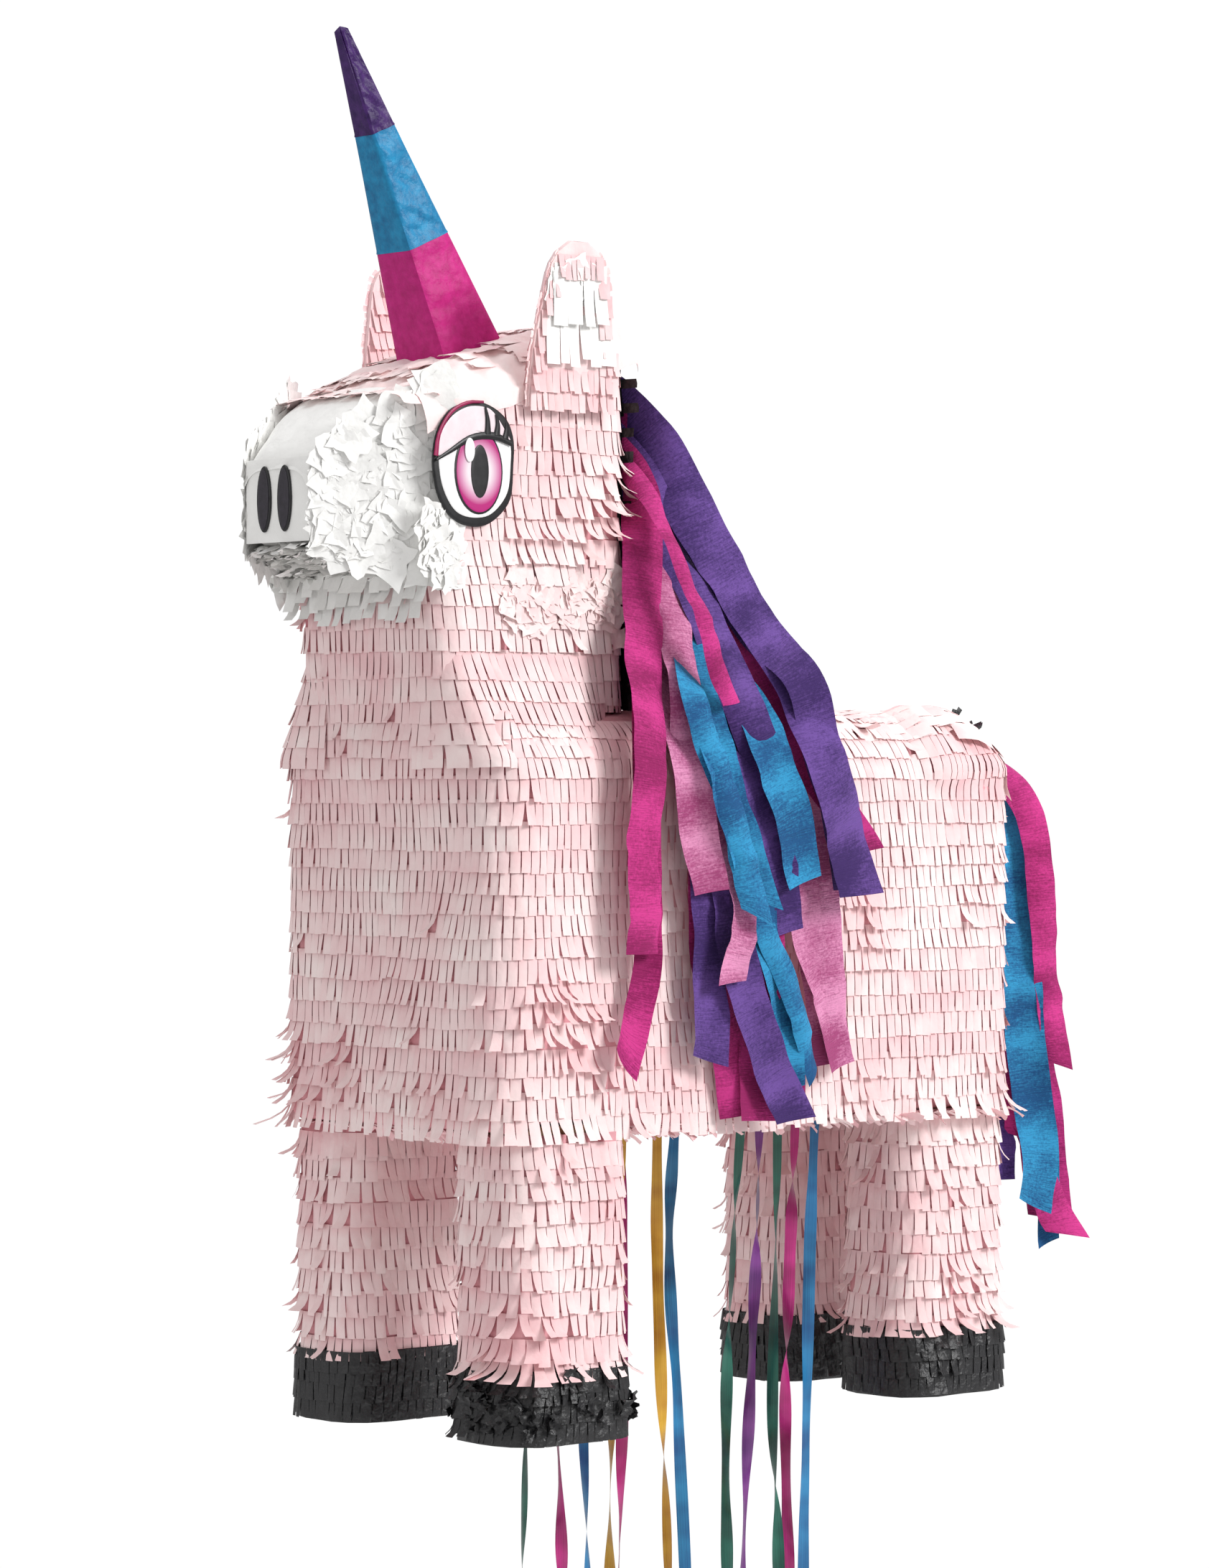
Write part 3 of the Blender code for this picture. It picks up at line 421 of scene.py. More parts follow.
def finger(cut, rng, surface, a, s, width, length, lift=1.0, curl=0.0, slant=0.0, tone=None, full=0.935, steps=4):
    """One cut finger of a glued tissue row: it lies on the surface at its root and stands off at its tip."""
    rise = rng.uniform(0.0007, 0.0016) * lift
    pleat = width * rng.uniform(0.03, 0.11)
    hollow = 1.0 if rng.random() < 0.8 else -0.4
    twist = rng.gauss(0.0, 0.0002) * (1 + curl * 500)
    if tone is None:
        tone = rng.uniform(0.4, 0.8)
    rows = []
    tones = []
    for step in range(steps + 1):
        t = step / steps
        narrow = 1.0 if t < 0.2 else full - 0.05 * t
        row = []
        for side in (-1, 0, 1):
            beside = a + side * width / 2 * narrow + slant * t * t
            point, normal = surface(beside, s - length * t * (1 - 30 * curl * t))
            off = 0.0004 + rise * t + curl * lift * t ** 3
            if side == 0:
                off += pleat * hollow * min(t * 3, 1.0)
            else:
                off += side * twist * t
            row.append(point + normal * off)
        rows.append(row)
        # Painted shade: the tone is darker at the finger's root, where the row above overlaps it, and lightens
        # towards the tip.
        tones.append(tone * (0.66 + 0.34 * min(t * 1.6, 1.0)))
    cut.grid(rows, tones)


def ruffled(point):
    """How disturbed the tissue is at a point, from 0 to 1, in patches."""
    value = noise.noise(point * 15.0 + Vector((3.1, 0.4, 7.7))) + 0.5 * noise.noise(point * 37.0)
    return min(max((value - 0.20) * 2.6, 0.0), 1.0)


def fringe_ring(cut, rng, surface, total, s, length, widths=(0.0031, 0.0050), lift=None, room=None, wave=0.0007,
                mess=1.0):
    """A row of fingers all the way round a ring surface; most stretches lie calm and some are ruffled."""
    seed = rng.random() * 50
    row_tone = rng.uniform(0.50, 0.72)
    a = rng.uniform(0, 0.004)
    end = total + a
    while a < end:
        width = rng.uniform(*widths)
        middle = a + width / 2
        a += width * rng.uniform(1.0, 1.04)
        here = (s(middle) if callable(s) else s) + waver(seed, middle, 14.0) * wave
        free = room(middle, here) if room else 1.0
        if free < 0.003:
            continue
        point = surface(middle, here)[0]
        rough = min(ruffled(point) * mess + (0.45 if point.z < BODY_LOW.z + 0.026 and mess == 1.0
                                             and rng.random() < 0.4 else 0.0), 1.0)
        reach = min(length * rng.uniform(0.97, 1.03) * (1 - 0.22 * rough * rng.random()), free)
        curl = rough * rng.uniform(0.0, 0.0046)
        if rng.random() < 0.018 * mess:
            curl = rng.uniform(0.002, 0.0065)
        slant = 0.0022 * noise.noise(point * 24.0) + rng.gauss(0.0, 0.0001 + 0.0011 * rough)
        scale = (lift(middle, here) if lift else 1.0) * (0.8 + 0.9 * noise.noise(point * 30.0) + 0.8 * rough)
        tone = row_tone + 0.35 * noise.noise(point * 26.0) + rng.uniform(-0.07, 0.07)
        finger(cut, rng, surface, middle, here, width, reach, max(scale, 0.15), curl, slant, tone)


def tuft(cut, rng, point, normal, size, lift, tone=None):
    """Small square of tissue glued at its middle, softly crumpled, its corners standing off."""
    side = normal.orthogonal().normalized()
    side = Matrix.Rotation(rng.uniform(0, 2 * pi), 3, normal) @ side
    other = normal.cross(side)
    count = 5
    shift = Vector((rng.uniform(0, 90), rng.uniform(0, 90), rng.uniform(0, 90)))
    rows = []
    for i in range(count + 1):
        row = []
        for j in range(count + 1):
            u, v = (i / count - 0.5) * 2, (j / count - 0.5) * 2
            reach = max(abs(u), abs(v))
            wave = noise.noise(Vector((u * 1.5, v * 1.5, 0)) + shift)
            ragged = 1 - 0.30 * reach * noise.noise(Vector((u * 2.4, v * 2.4, 5)) + shift)
            high = max(0.0003 + lift * (0.25 + 0.7 * reach * reach + 1.3 * wave), 0.0002)
            row.append(point + (side * u + other * v) * size / 2 * ragged + normal * high)
        rows.append(row)
    cut.grid(rows, rng.uniform(0.2, 0.95) if tone is None else tone)


# ---------------------------------------------------------------- pull ribbons (cords)

DROP_TURN = 0.0043
RIBBON_REACH = 0.0025
RIBBON_STEPS = (0.055, 0.120, 0.190, 0.270, 0.350, 0.449)
RIBBON_WIDTH = 0.005

# name: (colour, x, y above the hoof plane, sideways drift (x, y) at each of RIBBON_STEPS), in metres.
RIBBONS = {
    "ribbon_green_a": ("green_ribbon", -0.018, -0.044, ((0.002, 0.000), (-0.001, -0.001), (-0.003, -0.002),
        (0.001, -0.001), (0.004, 0.000), (0.002, 0.000))),
    "ribbon_magenta_a": ("magenta_ribbon", -0.018, -0.034, ((-0.001, 0.001), (0.003, 0.001), (0.006, 0.001),
        (0.000, 0.001), (-0.004, 0.000), (-0.002, 0.001))),
    "ribbon_magenta_b": ("magenta_ribbon", -0.018, 0.002, ((0.002, 0.001), (0.003, 0.000), (0.002, -0.001),
        (0.003, 0.000), (0.006, 0.001), (0.008, 0.000))),
    "ribbon_blue_a": ("blue_ribbon", -0.004, -0.025, ((-0.002, -0.001), (-0.003, -0.001), (-0.001, 0.000),
        (0.000, 0.000), (0.003, 0.001), (0.005, 0.001))),
    "ribbon_gold_a": ("gold_ribbon", -0.004, -0.008, ((-0.001, -0.001), (-0.004, -0.002), (-0.006, -0.001),
        (-0.002, 0.000), (0.002, 0.001), (0.000, 0.000))),
    "ribbon_yellow": ("gold_ribbon", -0.004, 0.011, ((0.001, -0.001), (0.003, 0.000), (0.006, 0.001),
        (0.009, 0.000), (0.008, 0.000), (0.004, 0.000))),
    "ribbon_blue_b": ("blue_ribbon", -0.004, 0.021, ((-0.004, 0.000), (0.000, 0.001), (0.005, 0.001),
        (0.008, 0.002), (0.007, 0.001), (0.003, 0.001))),
    "ribbon_green_b": ("green_ribbon", 0.022, 0.033, ((-0.004, -0.001), (-0.008, -0.001), (-0.007, -0.001),
        (-0.004, 0.000), (-0.006, 0.000), (-0.008, 0.000))),
    "ribbon_purple": ("purple_ribbon", 0.022, 0.043, ((-0.002, 0.000), (-0.005, -0.001), (-0.009, -0.001),
        (-0.008, 0.000), (-0.003, 0.000), (0.000, 0.000))),
    "ribbon_green_c": ("green_ribbon", 0.022, 0.053, ((-0.001, 0.000), (-0.002, -0.001), (0.001, 0.000),
        (0.004, 0.000), (0.002, 0.000), (-0.002, 0.000))),
    "ribbon_magenta_c": ("magenta_ribbon", 0.022, 0.063, ((-0.003, 0.000), (-0.006, 0.000), (-0.005, 0.001),
        (-0.002, 0.000), (-0.001, 0.000), (-0.003, 0.000))),
    "ribbon_blue_c": ("blue_ribbon", 0.022, 0.074, ((-0.002, -0.001), (-0.004, -0.001), (-0.007, 0.000),
        (-0.006, 0.000), (-0.002, 0.000), (0.001, 0.000))),
}


def add_ribbons():
    """Flat curling ribbons, each from its slit in the trapdoor straight down to a cut end."""
    turn = DOOR_LOW.z - DROP_TURN
    for seed, (name, (paint, x, y, drift)) in enumerate(RIBBONS.items()):
        y -= HANG_Y
        top = turn + RIBBON_REACH
        route = [Vector((x, y, DOOR_HIGH.z)), Vector((x, y, top))]
        for step, (dx, dy) in zip(RIBBON_STEPS, drift):
            route.append(Vector((x + dx, y + dy, top - step)))
        line = smooth_line(route, 120)
        cut = Cut()
        rows = []
        flat = []
        gone = 0.0
        for index, point in enumerate(line):
            ahead = line[min(index + 1, len(line) - 1)] - line[max(index - 1, 0)]
            if index:
                gone += (point - line[index - 1]).length
            hang = ease((gone - 0.008) / 0.05)
            angle = hang * (waver(seed + 3, gone, 9.0) * 2.2 + 0.9 * sin(gone * 38 + seed * 2.1))
            across = Vector((sin(angle), cos(angle), 0.0))
            across = (across - ahead * across.dot(ahead) / ahead.length_squared).normalized()
            out = across.cross(ahead).normalized()
            cup = 0.0007 * waver(seed + 9, gone, 30.0) * hang
            row = []
            for side in (-1, -0.5, 0, 0.5, 1):
                row.append(point + across * (side * RIBBON_WIDTH / 2) + out * cup * (side * side - 0.4))
            rows.append(row)
            flat.append([(side * RIBBON_WIDTH / 2, gone) for side in (-1, -0.5, 0, 0.5, 1)])
        cut.grid(rows, 0.5, flat=flat)
        mesh = cut.mesh(name + "_strip")
        obj = place(name + "_strip", mesh, RIBBON_PAINTS[paint], None, paint, (name,))
        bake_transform(obj)


add_ribbons()

# ---------------------------------------------------------------- covers under the fringe


def skin(node, paint, slot, body="carcass", amount=0.0004):
    """Thin crinkled tissue ground in the exact place of a CAD cover."""
    bm = bmesh.new()
    bm.from_mesh(NODES[node].data)
    bmesh.ops.remove_doubles(bm, verts=bm.verts, dist=0.00001)
    for _ in range(3):
        long_edges = [edge for edge in bm.edges if edge.calc_length() > 0.013]
        if not long_edges:
            break
        bmesh.ops.subdivide_edges(bm, edges=long_edges, cuts=1, use_grid_fill=True)
    bmesh.ops.triangulate(bm, faces=bm.faces)
    bm.normal_update()
    moves = []
    for vert in bm.verts:
        push = noise.noise(vert.co * 160.0) * amount
        moves.append(vert.normal * (push - amount * 0.4))
    for vert, move in zip(bm.verts, moves):
        vert.co += move
    mesh = bpy.data.meshes.new(node + "_ground")
    bm.to_mesh(mesh)
    bm.free()
    tone = mesh.attributes.new("tone", "FLOAT", "POINT")
    # Where the paint reads it, the low tone makes the ground darker than the pieces laid over it: painted shade
    # between them.
    tone.data.foreach_set("value", [0.35] * len(mesh.vertices))
    mesh.shade_smooth()
    mesh.set_sharp_from_angle(angle=radians(40))
    return place(node + "_ground", mesh, paint, body, slot, (node,))


skin("body_tissue", PINK_SHADE_GROUND, "pink_tissue")
skin("neck_tissue", PINK_SHADE_GROUND, "pink_tissue")
skin("muzzle_tissue", WHITE, "white_tissue", amount=0.0012)
for leg in LEGS:
    skin("leg_tissue_" + leg, PINK_SHADE_GROUND, "pink_tissue")
    skin("hoof_" + leg, BLACK, "black_crepe")

# ---------------------------------------------------------------- torso fringe

PITCH = 0.0089
REAR_NARROW = 0.006
TORSO = Ring([(BODY_HIGH.x, BODY_LOW.y, 0.018), (BODY_HIGH.x - REAR_NARROW, BODY_HIGH.y, 0.022),
              (-BODY_HIGH.x + REAR_NARROW, BODY_HIGH.y, 0.022), (-BODY_HIGH.x, BODY_LOW.y, 0.018)])
SIDE_ROUND = 0.030
TOP_RUN = BODY_HIGH.z - BODY_LOW.z - SIDE_ROUND


def rump_lift(x, y, z):
    """The rows stand a little off the rounded corners above the tail."""
    return (0.0042 * ease((y - at(0, 0.088, 0).y) / 0.014) * ease((z - at(0, 0, 0.245).z) / 0.010)
            * ease((abs(x) - 0.036) / 0.010) * (1 - ease((y - at(0, 0.146, 0).y) / 0.006)))


def torso(a, s):
    """Point and normal on the torso; s is the length up the side from the belly edge."""
    x, y, nx, ny = TORSO.at(a)
    rear = ease((y - (BODY_HIGH.y - 0.050)) / 0.030)
    front = ease((-ny - 0.15) / 0.7)
    throat = 1 - ease((abs(x) - 0.036) / 0.028)
    radius = SIDE_ROUND + 0.010 * rear - front * (0.016 + 0.010 * throat)
    if s < TOP_RUN:
        z = BODY_LOW.z + s
    else:
        z = BODY_HIGH.z - SIDE_ROUND + SIDE_ROUND * sin(min((s - TOP_RUN) / SIDE_ROUND, pi / 2))
    rise = min(max(z - (BODY_HIGH.z - radius), 0.0), radius * 0.999)
    inset = radius - sqrt(radius * radius - rise * rise)
    tilt = asin(rise / radius) * (1 - 0.8 * front * throat)
    bulge = 0.0068 * ease((z - BODY_HIGH.z + 0.060) / 0.05) * front * throat
    normal = Vector((nx * cos(tilt), ny * cos(tilt), sin(tilt)))
    return Vector((x - nx * inset, y - ny * inset - bulge, z)) + normal * rump_lift(x, y, z), normal


def under_mane(a, s):
    """Fingers under the hanging mane lie pressed flat, and the lowest row lifts over the tops of the legs."""
    _, y, nx, _ = TORSO.at(a)
    if s < 0.012 and abs(nx) > 0.3 and (y < at(0, -0.062, 0).y or y > at(0, 0.088, 0).y):
        return 2.6
    if nx > 0.6 and at(0, -0.086, 0).y < y < at(0, 0.048, 0).y:
        return 0.35
    return 1.0


def torso_room(a, s):
    """No fingers where the neck stands on the shoulders."""
    x, _, _, ny = TORSO.at(a)
    point = torso(a, s)[0]
    if -ny > 0.6 and abs(x) < 0.042:
        return 0.0 if s > TOP_RUN + 0.0372 else 1.0
    if s > TOP_RUN + 0.020 and point.y < NECK_HIGH.y + 0.002 and abs(point.x) < NECK_HIGH.x + 0.002:
        return 0.0
    return 1.0


def add_torso():
    rng = random.Random(11)
    cut = Cut()
    s = 0.0080
    while s < TOP_RUN + SIDE_ROUND * 1.45:
        fringe_ring(cut, rng, torso, TORSO.total, s, PITCH * rng.uniform(1.14, 1.24) * (1.12 if s < 0.01 else 1.0),
                    lift=under_mane, room=torso_room)
        s += PITCH * rng.uniform(0.88, 1.10)
    place("torso_fringe", cut.mesh("torso_fringe"), PINK, "carcass", "pink_tissue")

    cut = Cut()
    rows = []
    for step in range(9):
        s = TOP_RUN - 0.004 + 0.0052 * step
        row = []
        for j in range(29):
            a = (j / 14 - 1) * 0.058
            point, normal = torso(a, s)
            row.append(point - normal * 0.0004)
        rows.append(row)
    top = []
    for point in rows[-1]:
        top.append(Vector((min(max(point.x, -0.044), 0.044), point.y + 0.0006, NECK_LOW.z + 0.007)))
    rows.append(top)
    cut.grid(rows, 0.35)
    place("throat_ground", cut.mesh("throat_ground"), PINK_SHADE_GROUND, "carcass", "pink_tissue")


def roof_point(x, y):
    """Height and normal on top of the torso."""
    side = max(abs(x) - (BODY_HIGH.x - 0.004 - SIDE_ROUND), 0.0)
    back = max(y - (BODY_HIGH.y - 0.040), 0.0)
    side = min(side, SIDE_ROUND * 0.98)
    back = min(back, 0.0392)
    drop = SIDE_ROUND - sqrt(SIDE_ROUND ** 2 - side ** 2) + 0.040 - sqrt(0.040 ** 2 - back ** 2)
    normal = Vector((side / SIDE_ROUND * (1 if x > 0 else -1), back / 0.040, 1.0)).normalized()
    z = BODY_HIGH.z - drop
    return Vector((x, y, z)) + normal * rump_lift(x, y, z), normal


def add_roof():
    """Rows across the back, their fingers pointing to the tail; those on the filling flap ride the flap."""
    rng = random.Random(23)
    still = Cut()
    flap = Cut()
    wires = [(side * 0.010, 0.0) for side in (-1, 1)]
    y = BODY_HIGH.y - 0.012
    while y > NECK_HIGH.y + 0.001:
        x = -0.056
        while x < 0.056:
            width = rng.uniform(0.0034, 0.0056)
            for edge in (FLAP_LOW.x, FLAP_HIGH.x):
                if x < edge < x + width:
                    width = max(edge - x, 0.0010)
            middle = x + width / 2
            x += width * 1.02
            if any(hypot(middle - wx, y + 0.004 - wy) < 0.0075 for wx, wy in wires):
                continue
            if abs(middle) < 0.011 and y > BODY_HIGH.y - 0.026:
                continue
            on_flap = FLAP_LOW.x < middle < FLAP_HIGH.x and FLAP_LOW.y + 0.0005 < y < FLAP_HIGH.y - 0.0045
            length = 0.0108 * rng.uniform(0.88, 1.08)
            if on_flap:
                length = min(length, FLAP_HIGH.y - 0.0012 - y)
            elif FLAP_LOW.x < middle < FLAP_HIGH.x and y < FLAP_LOW.y + 0.0005:
                length = min(length, FLAP_LOW.y + 0.0003 - y)
            elif FLAP_LOW.x < middle < FLAP_HIGH.x and y < FLAP_HIGH.y + 0.0035:
                continue
            if length < 0.002:
                continue

            def roof(a, s):
                return roof_point(a, y - s)

            rough = ruffled(roof(middle, 0.0)[0])
            finger(flap if on_flap else still, rng, roof, middle, 0.0, width, length, 0.6 + rough,
                   rough * rng.uniform(0.0, 0.003), rng.gauss(0.0, 0.0004), rng.uniform(0.55, 0.9), 0.99)
        y -= PITCH * rng.uniform(0.92, 1.08)
    place("back_fringe", still.mesh("back_fringe"), PINK, "carcass", "pink_tissue")
    place("filling_flap_fringe", flap.mesh("filling_flap_fringe"), PINK, "back_flap", "pink_tissue")


def droop(cut, rng, x, y, z, width, length, angle, paint_tone=None):
    """Finger that hangs loose from the belly."""
    pleat = width * 0.2
    turn = rng.gauss(0.0, 0.5)
    way = Vector((sin(turn), cos(turn), 0.0))
    across = Vector((cos(turn), -sin(turn), 0.0))
    point = Vector((x, y, z - 0.0004))
    rows = []
    bend = angle * 0.3
    for _ in range(5):
        row = [point - across * width / 2, point + Vector((0, 0, -pleat)), point + across * width / 2]
        rows.append(row)
        bend += angle * 0.32 * rng.uniform(0.6, 1.5)
        point = point + (way * cos(bend) - Vector((0, 0, sin(bend)))) * (length / 4)
        across = (across + Vector((0, 0, rng.gauss(0.0, 0.18)))).normalized()
    # The default tone range is darker than that of the side fingers: painted shade under the belly.
    cut.grid(rows, rng.uniform(0.1, 0.75) if paint_tone is None else paint_tone)


def add_belly():
    """Ragged rows under the belly; those on the trapdoor ride the door and leave room for the ribbons."""
    rng = random.Random(37)
    still = Cut()
    door = Cut()
    slits = [(x, y - HANG_Y) for _, x, y, _ in RIBBONS.values()]
    y = BODY_LOW.y + 0.006
    while y < BODY_HIGH.y - 0.010:
        x = -0.064
        while x < 0.064:
            width = rng.uniform(0.003, 0.0052)
            for edge in (DOOR_LOW.x, DOOR_HIGH.x):
                if x < edge < x + width:
                    width = max(edge - x, 0.0010)
            middle = x + width / 2
            x += width * 1.03
            on_door = (DOOR_LOW.x + 0.001 < middle < DOOR_HIGH.x - 0.001
                       and DOOR_LOW.y + 0.001 < y < DOOR_HIGH.y - 0.002)
            if on_door and any(abs(middle - sx) < 0.0055 and -0.010 < y - sy < 0.0045 for sx, sy in slits):
                continue
            length = rng.uniform(0.0075, 0.0115)
            if on_door:
                length = min(length, 0.0085, DOOR_HIGH.y + 0.001 - y)
                if middle < DOOR_LOW.x + 0.006:
                    continue
            elif DOOR_LOW.y - 0.012 < y < DOOR_HIGH.y + 0.001 and DOOR_LOW.x - 0.0065 < middle < DOOR_HIGH.x + 0.003:
                length = DOOR_LOW.y - y if y < DOOR_LOW.y and middle > DOOR_LOW.x else 0.0
            if length < 0.002:
                continue
            droop(door if on_door else still, rng, middle, y, BODY_LOW.z, width, length, rng.uniform(0.12, 0.50))
        y += 0.0072 * rng.uniform(0.9, 1.1)
    place("belly_fringe", still.mesh("belly_fringe"), PINK, "carcass", "pink_tissue")
    place("trapdoor_fringe", door.mesh("trapdoor_fringe"), PINK, "belly_door", "pink_tissue")


add_torso()
add_roof()
add_belly()

# ---------------------------------------------------------------- legs and hooves


def leg_map(node, radius, grow=0.0):
    low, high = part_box(node)
    x0, y0, x1, y1 = low.x - grow, low.y - grow, high.x + grow, high.y + grow
    ring = Ring([(x1, y0, radius), (x1, y1, radius), (x0, y1, radius), (x0, y0, radius)])

    def surface(a, s):
        x, y, nx, ny = ring.at(a)
        return Vector((x, y, low.z + s)), Vector((nx, ny, 0.0))

    return ring, surface, high.z - low.z


def add_legs():
    rng = random.Random(53)
    for leg in LEGS:
        ring, surface, height = leg_map("leg_tissue_" + leg, 0.014)
        cut = Cut()
        s = 0.0045
        while s < height - 0.001:
            lowest = s < 0.005
            fringe_ring(cut, rng, surface, ring.total, s, PITCH * (1.02 if lowest else rng.uniform(1.12, 1.22)),
                        lift=(lambda a, s: 1.7) if lowest else None)
            s += PITCH * rng.uniform(0.88, 1.10)
        fringe_ring(cut, rng, surface, ring.total, height - 0.0036, PITCH * 1.05, mess=0.6)
        place(f"leg_fringe_{leg}", cut.mesh("leg_fringe_" + leg), PINK, "carcass", "pink_tissue")
        ring, surface, height = leg_map("hoof_" + leg, 0.0145)
        cut = Cut()
        for s in (0.0094, 0.0165, 0.0232, 0.0275):
            fringe_ring(cut, rng, surface, ring.total, s, 0.0088 * rng.uniform(0.95, 1.02),
                        widths=(0.0028, 0.0050), lift=lambda a, s: 0.6, wave=0.0003,
                        mess=1.2 if leg == "front_left" else 0.5)
        if leg == "front_left":
            for _ in range(46):
                point, normal = surface(rng.uniform(0, ring.total), rng.uniform(0.007, 0.026))
                tuft(cut, rng, point + normal * 0.0012, normal, rng.uniform(0.004, 0.0065), rng.uniform(0.001, 0.003))
        place(f"hoof_fringe_{leg}", cut.mesh("hoof_fringe_" + leg), BLACK, "carcass", "black_crepe")


add_legs()

# ---------------------------------------------------------------- neck and head

EYE_LOW, EYE_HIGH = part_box("eye_left")
EYE_Y = (EYE_LOW.y + EYE_HIGH.y) / 2
EYE_Z = (EYE_LOW.z + EYE_HIGH.z) / 2
EAR_LOW, EAR_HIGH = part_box("ear_left")
BACKING_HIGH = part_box("mane_base")[1]
EAR_Y = (EAR_LOW.y + EAR_HIGH.y) / 2
HEAD_FRONT_LOW = at(0, -0.1400, 0.2773)
HEAD_FRONT_HIGH = at(0, -0.1503, 0.3945)
HEAD_BACK_HIGH = at(0, -0.0470, 0.4260)
HEAD = Ring([(NECK_HIGH.x, HEAD_FRONT_LOW.y, 0.012), (NECK_HIGH.x, NECK_HIGH.y, 0.012),
             (-NECK_HIGH.x, NECK_HIGH.y, 0.012), (-NECK_HIGH.x, HEAD_FRONT_LOW.y, 0.012)])
ROOF_ROUND = 0.014


def head_edge(y):
    """Height of the sloping head top at y."""
    share = (y - HEAD_FRONT_HIGH.y) / (HEAD_BACK_HIGH.y - HEAD_FRONT_HIGH.y)
    return HEAD_FRONT_HIGH.z + share * (HEAD_BACK_HIGH.z - HEAD_FRONT_HIGH.z)


def head(a, z):
    x, y, nx, ny = HEAD.at(a)
    climb = (z - HEAD_FRONT_LOW.z) / (HEAD_FRONT_HIGH.z - HEAD_FRONT_LOW.z)
    lean = (HEAD_FRONT_HIGH.y - HEAD_FRONT_LOW.y) * min(max(climb, -0.2), 1.1)
    y += lean * (NECK_HIGH.y - y) / (NECK_HIGH.y - HEAD_FRONT_LOW.y)
    rise = min(max(z - (head_edge(y) - ROOF_ROUND), 0.0), ROOF_ROUND * 0.999)
    inset = ROOF_ROUND - sqrt(ROOF_ROUND ** 2 - rise ** 2)
    tilt = asin(rise / ROOF_ROUND)
    return (Vector((x - nx * inset, y - ny * inset, z)),
            Vector((nx * cos(tilt), ny * cos(tilt), sin(tilt))))


def eye_top(y):
    """Half height of the eye sticker at y, and 0 beside it."""
    u = (y - EYE_Y) / 0.0212
    return 0.0240 * sqrt(1 - u * u) if abs(u) < 1 else 0.0


def head_room(a, z):
    """Length a finger may have before it runs over the muzzle, the eye, the ear or the roof of the body."""
    x, _, nx, ny = HEAD.at(a)
    point = head(a, z)[0]
    if z > head_edge(point.y) - 0.0015:
        return 0.0
    if ny < -0.4:
        if z > MUZZLE_LOW.z + 0.004:
            return 0.0
        return 1.0
    if abs(nx) > 0.5 and z > MUZZLE_LOW.z + 0.004 and point.y < at(0, -0.1475, 0).y:
        return 0.0
    free = z - BODY_HIGH.z + 0.001
    if ny > 0.6 and -0.014 < x < 0.038 and z > at(0, 0, 0.283).z:
        free = z - BACKING_HIGH.z + 0.002
    if abs(nx) > 0.5:
        half = eye_top(point.y)
        if half:
            if z > EYE_Z + half:
                free = min(free, z - EYE_Z - half + 0.001)
            elif z > EYE_Z - half + 0.0098:
                return 0.0
        if abs(point.y - EAR_Y) < 0.0200 and z > EAR_LOW.z + 0.013:
            return 0.0
    return free


def near_eye(a, z):
    nx = HEAD.at(a)[2]
    point = head(a, z)[0]
    half = eye_top(point.y)
    if abs(nx) > 0.5 and abs(point.y - EAR_Y) < 0.0215 and z > EAR_LOW.z:
        return 0.3
    return 0.3 if half and EYE_Z - half - 0.001 < z < EYE_Z - half + 0.0102 else 0.9


def add_head():
    rng = random.Random(71)
    cut = Cut()
    z = NECK_LOW.z + 0.0045
    while z < HEAD_BACK_HIGH.z:
        fringe_ring(cut, rng, head, HEAD.total, z, PITCH * rng.uniform(1.14, 1.26), lift=near_eye, room=head_room)
        z += PITCH * rng.uniform(0.86, 1.10)

    def brow(a):
        y = HEAD.at(a)[1]
        guess = head_edge(y) - 0.005
        return head_edge(head(a, guess)[0].y) - 0.0035

    fringe_ring(cut, rng, head, HEAD.total, brow, PITCH * 1.1, lift=near_eye, room=head_room, wave=0.0)
    for _ in range(60):
        y = rng.uniform(at(0, -0.112, 0).y, at(0, -0.052, 0).y)
        z = at(0, 0, 0.318).z + rng.gauss(0.0, 0.005)
        tuft(cut, rng, Vector((NECK_HIGH.x + 0.0006, y, z)), Vector((1, 0, 0.1)).normalized(),
             rng.uniform(0.006, 0.011), rng.uniform(0.0004, 0.0013), rng.uniform(0.6, 0.9))
    place("neck_fringe", cut.mesh("neck_fringe"), PINK, "carcass", "pink_tissue")


def shoulder(sign):
    """Slope that leads from the neck out to the shoulder."""
    top, low = at(0, 0, 0.2990).z, at(0, 0, 0.2580).z

    def surface(a, z):
        x, y, nx, ny = HEAD.at(a)
        t = min(max((top - z) / (top - low), 0.0), 1.0)
        fade = 1 - ease((y - at(0, -0.085, 0).y) / 0.032)
        out = 0.0218 * t ** 1.1 * fade
        return (Vector(((x + max(nx, 0.0) * out) * sign, y - 0.0008 * t, z)),
                Vector((nx * sign, ny, 0.5 * t * max(nx, 0.0))).normalized())

    return surface, top, low


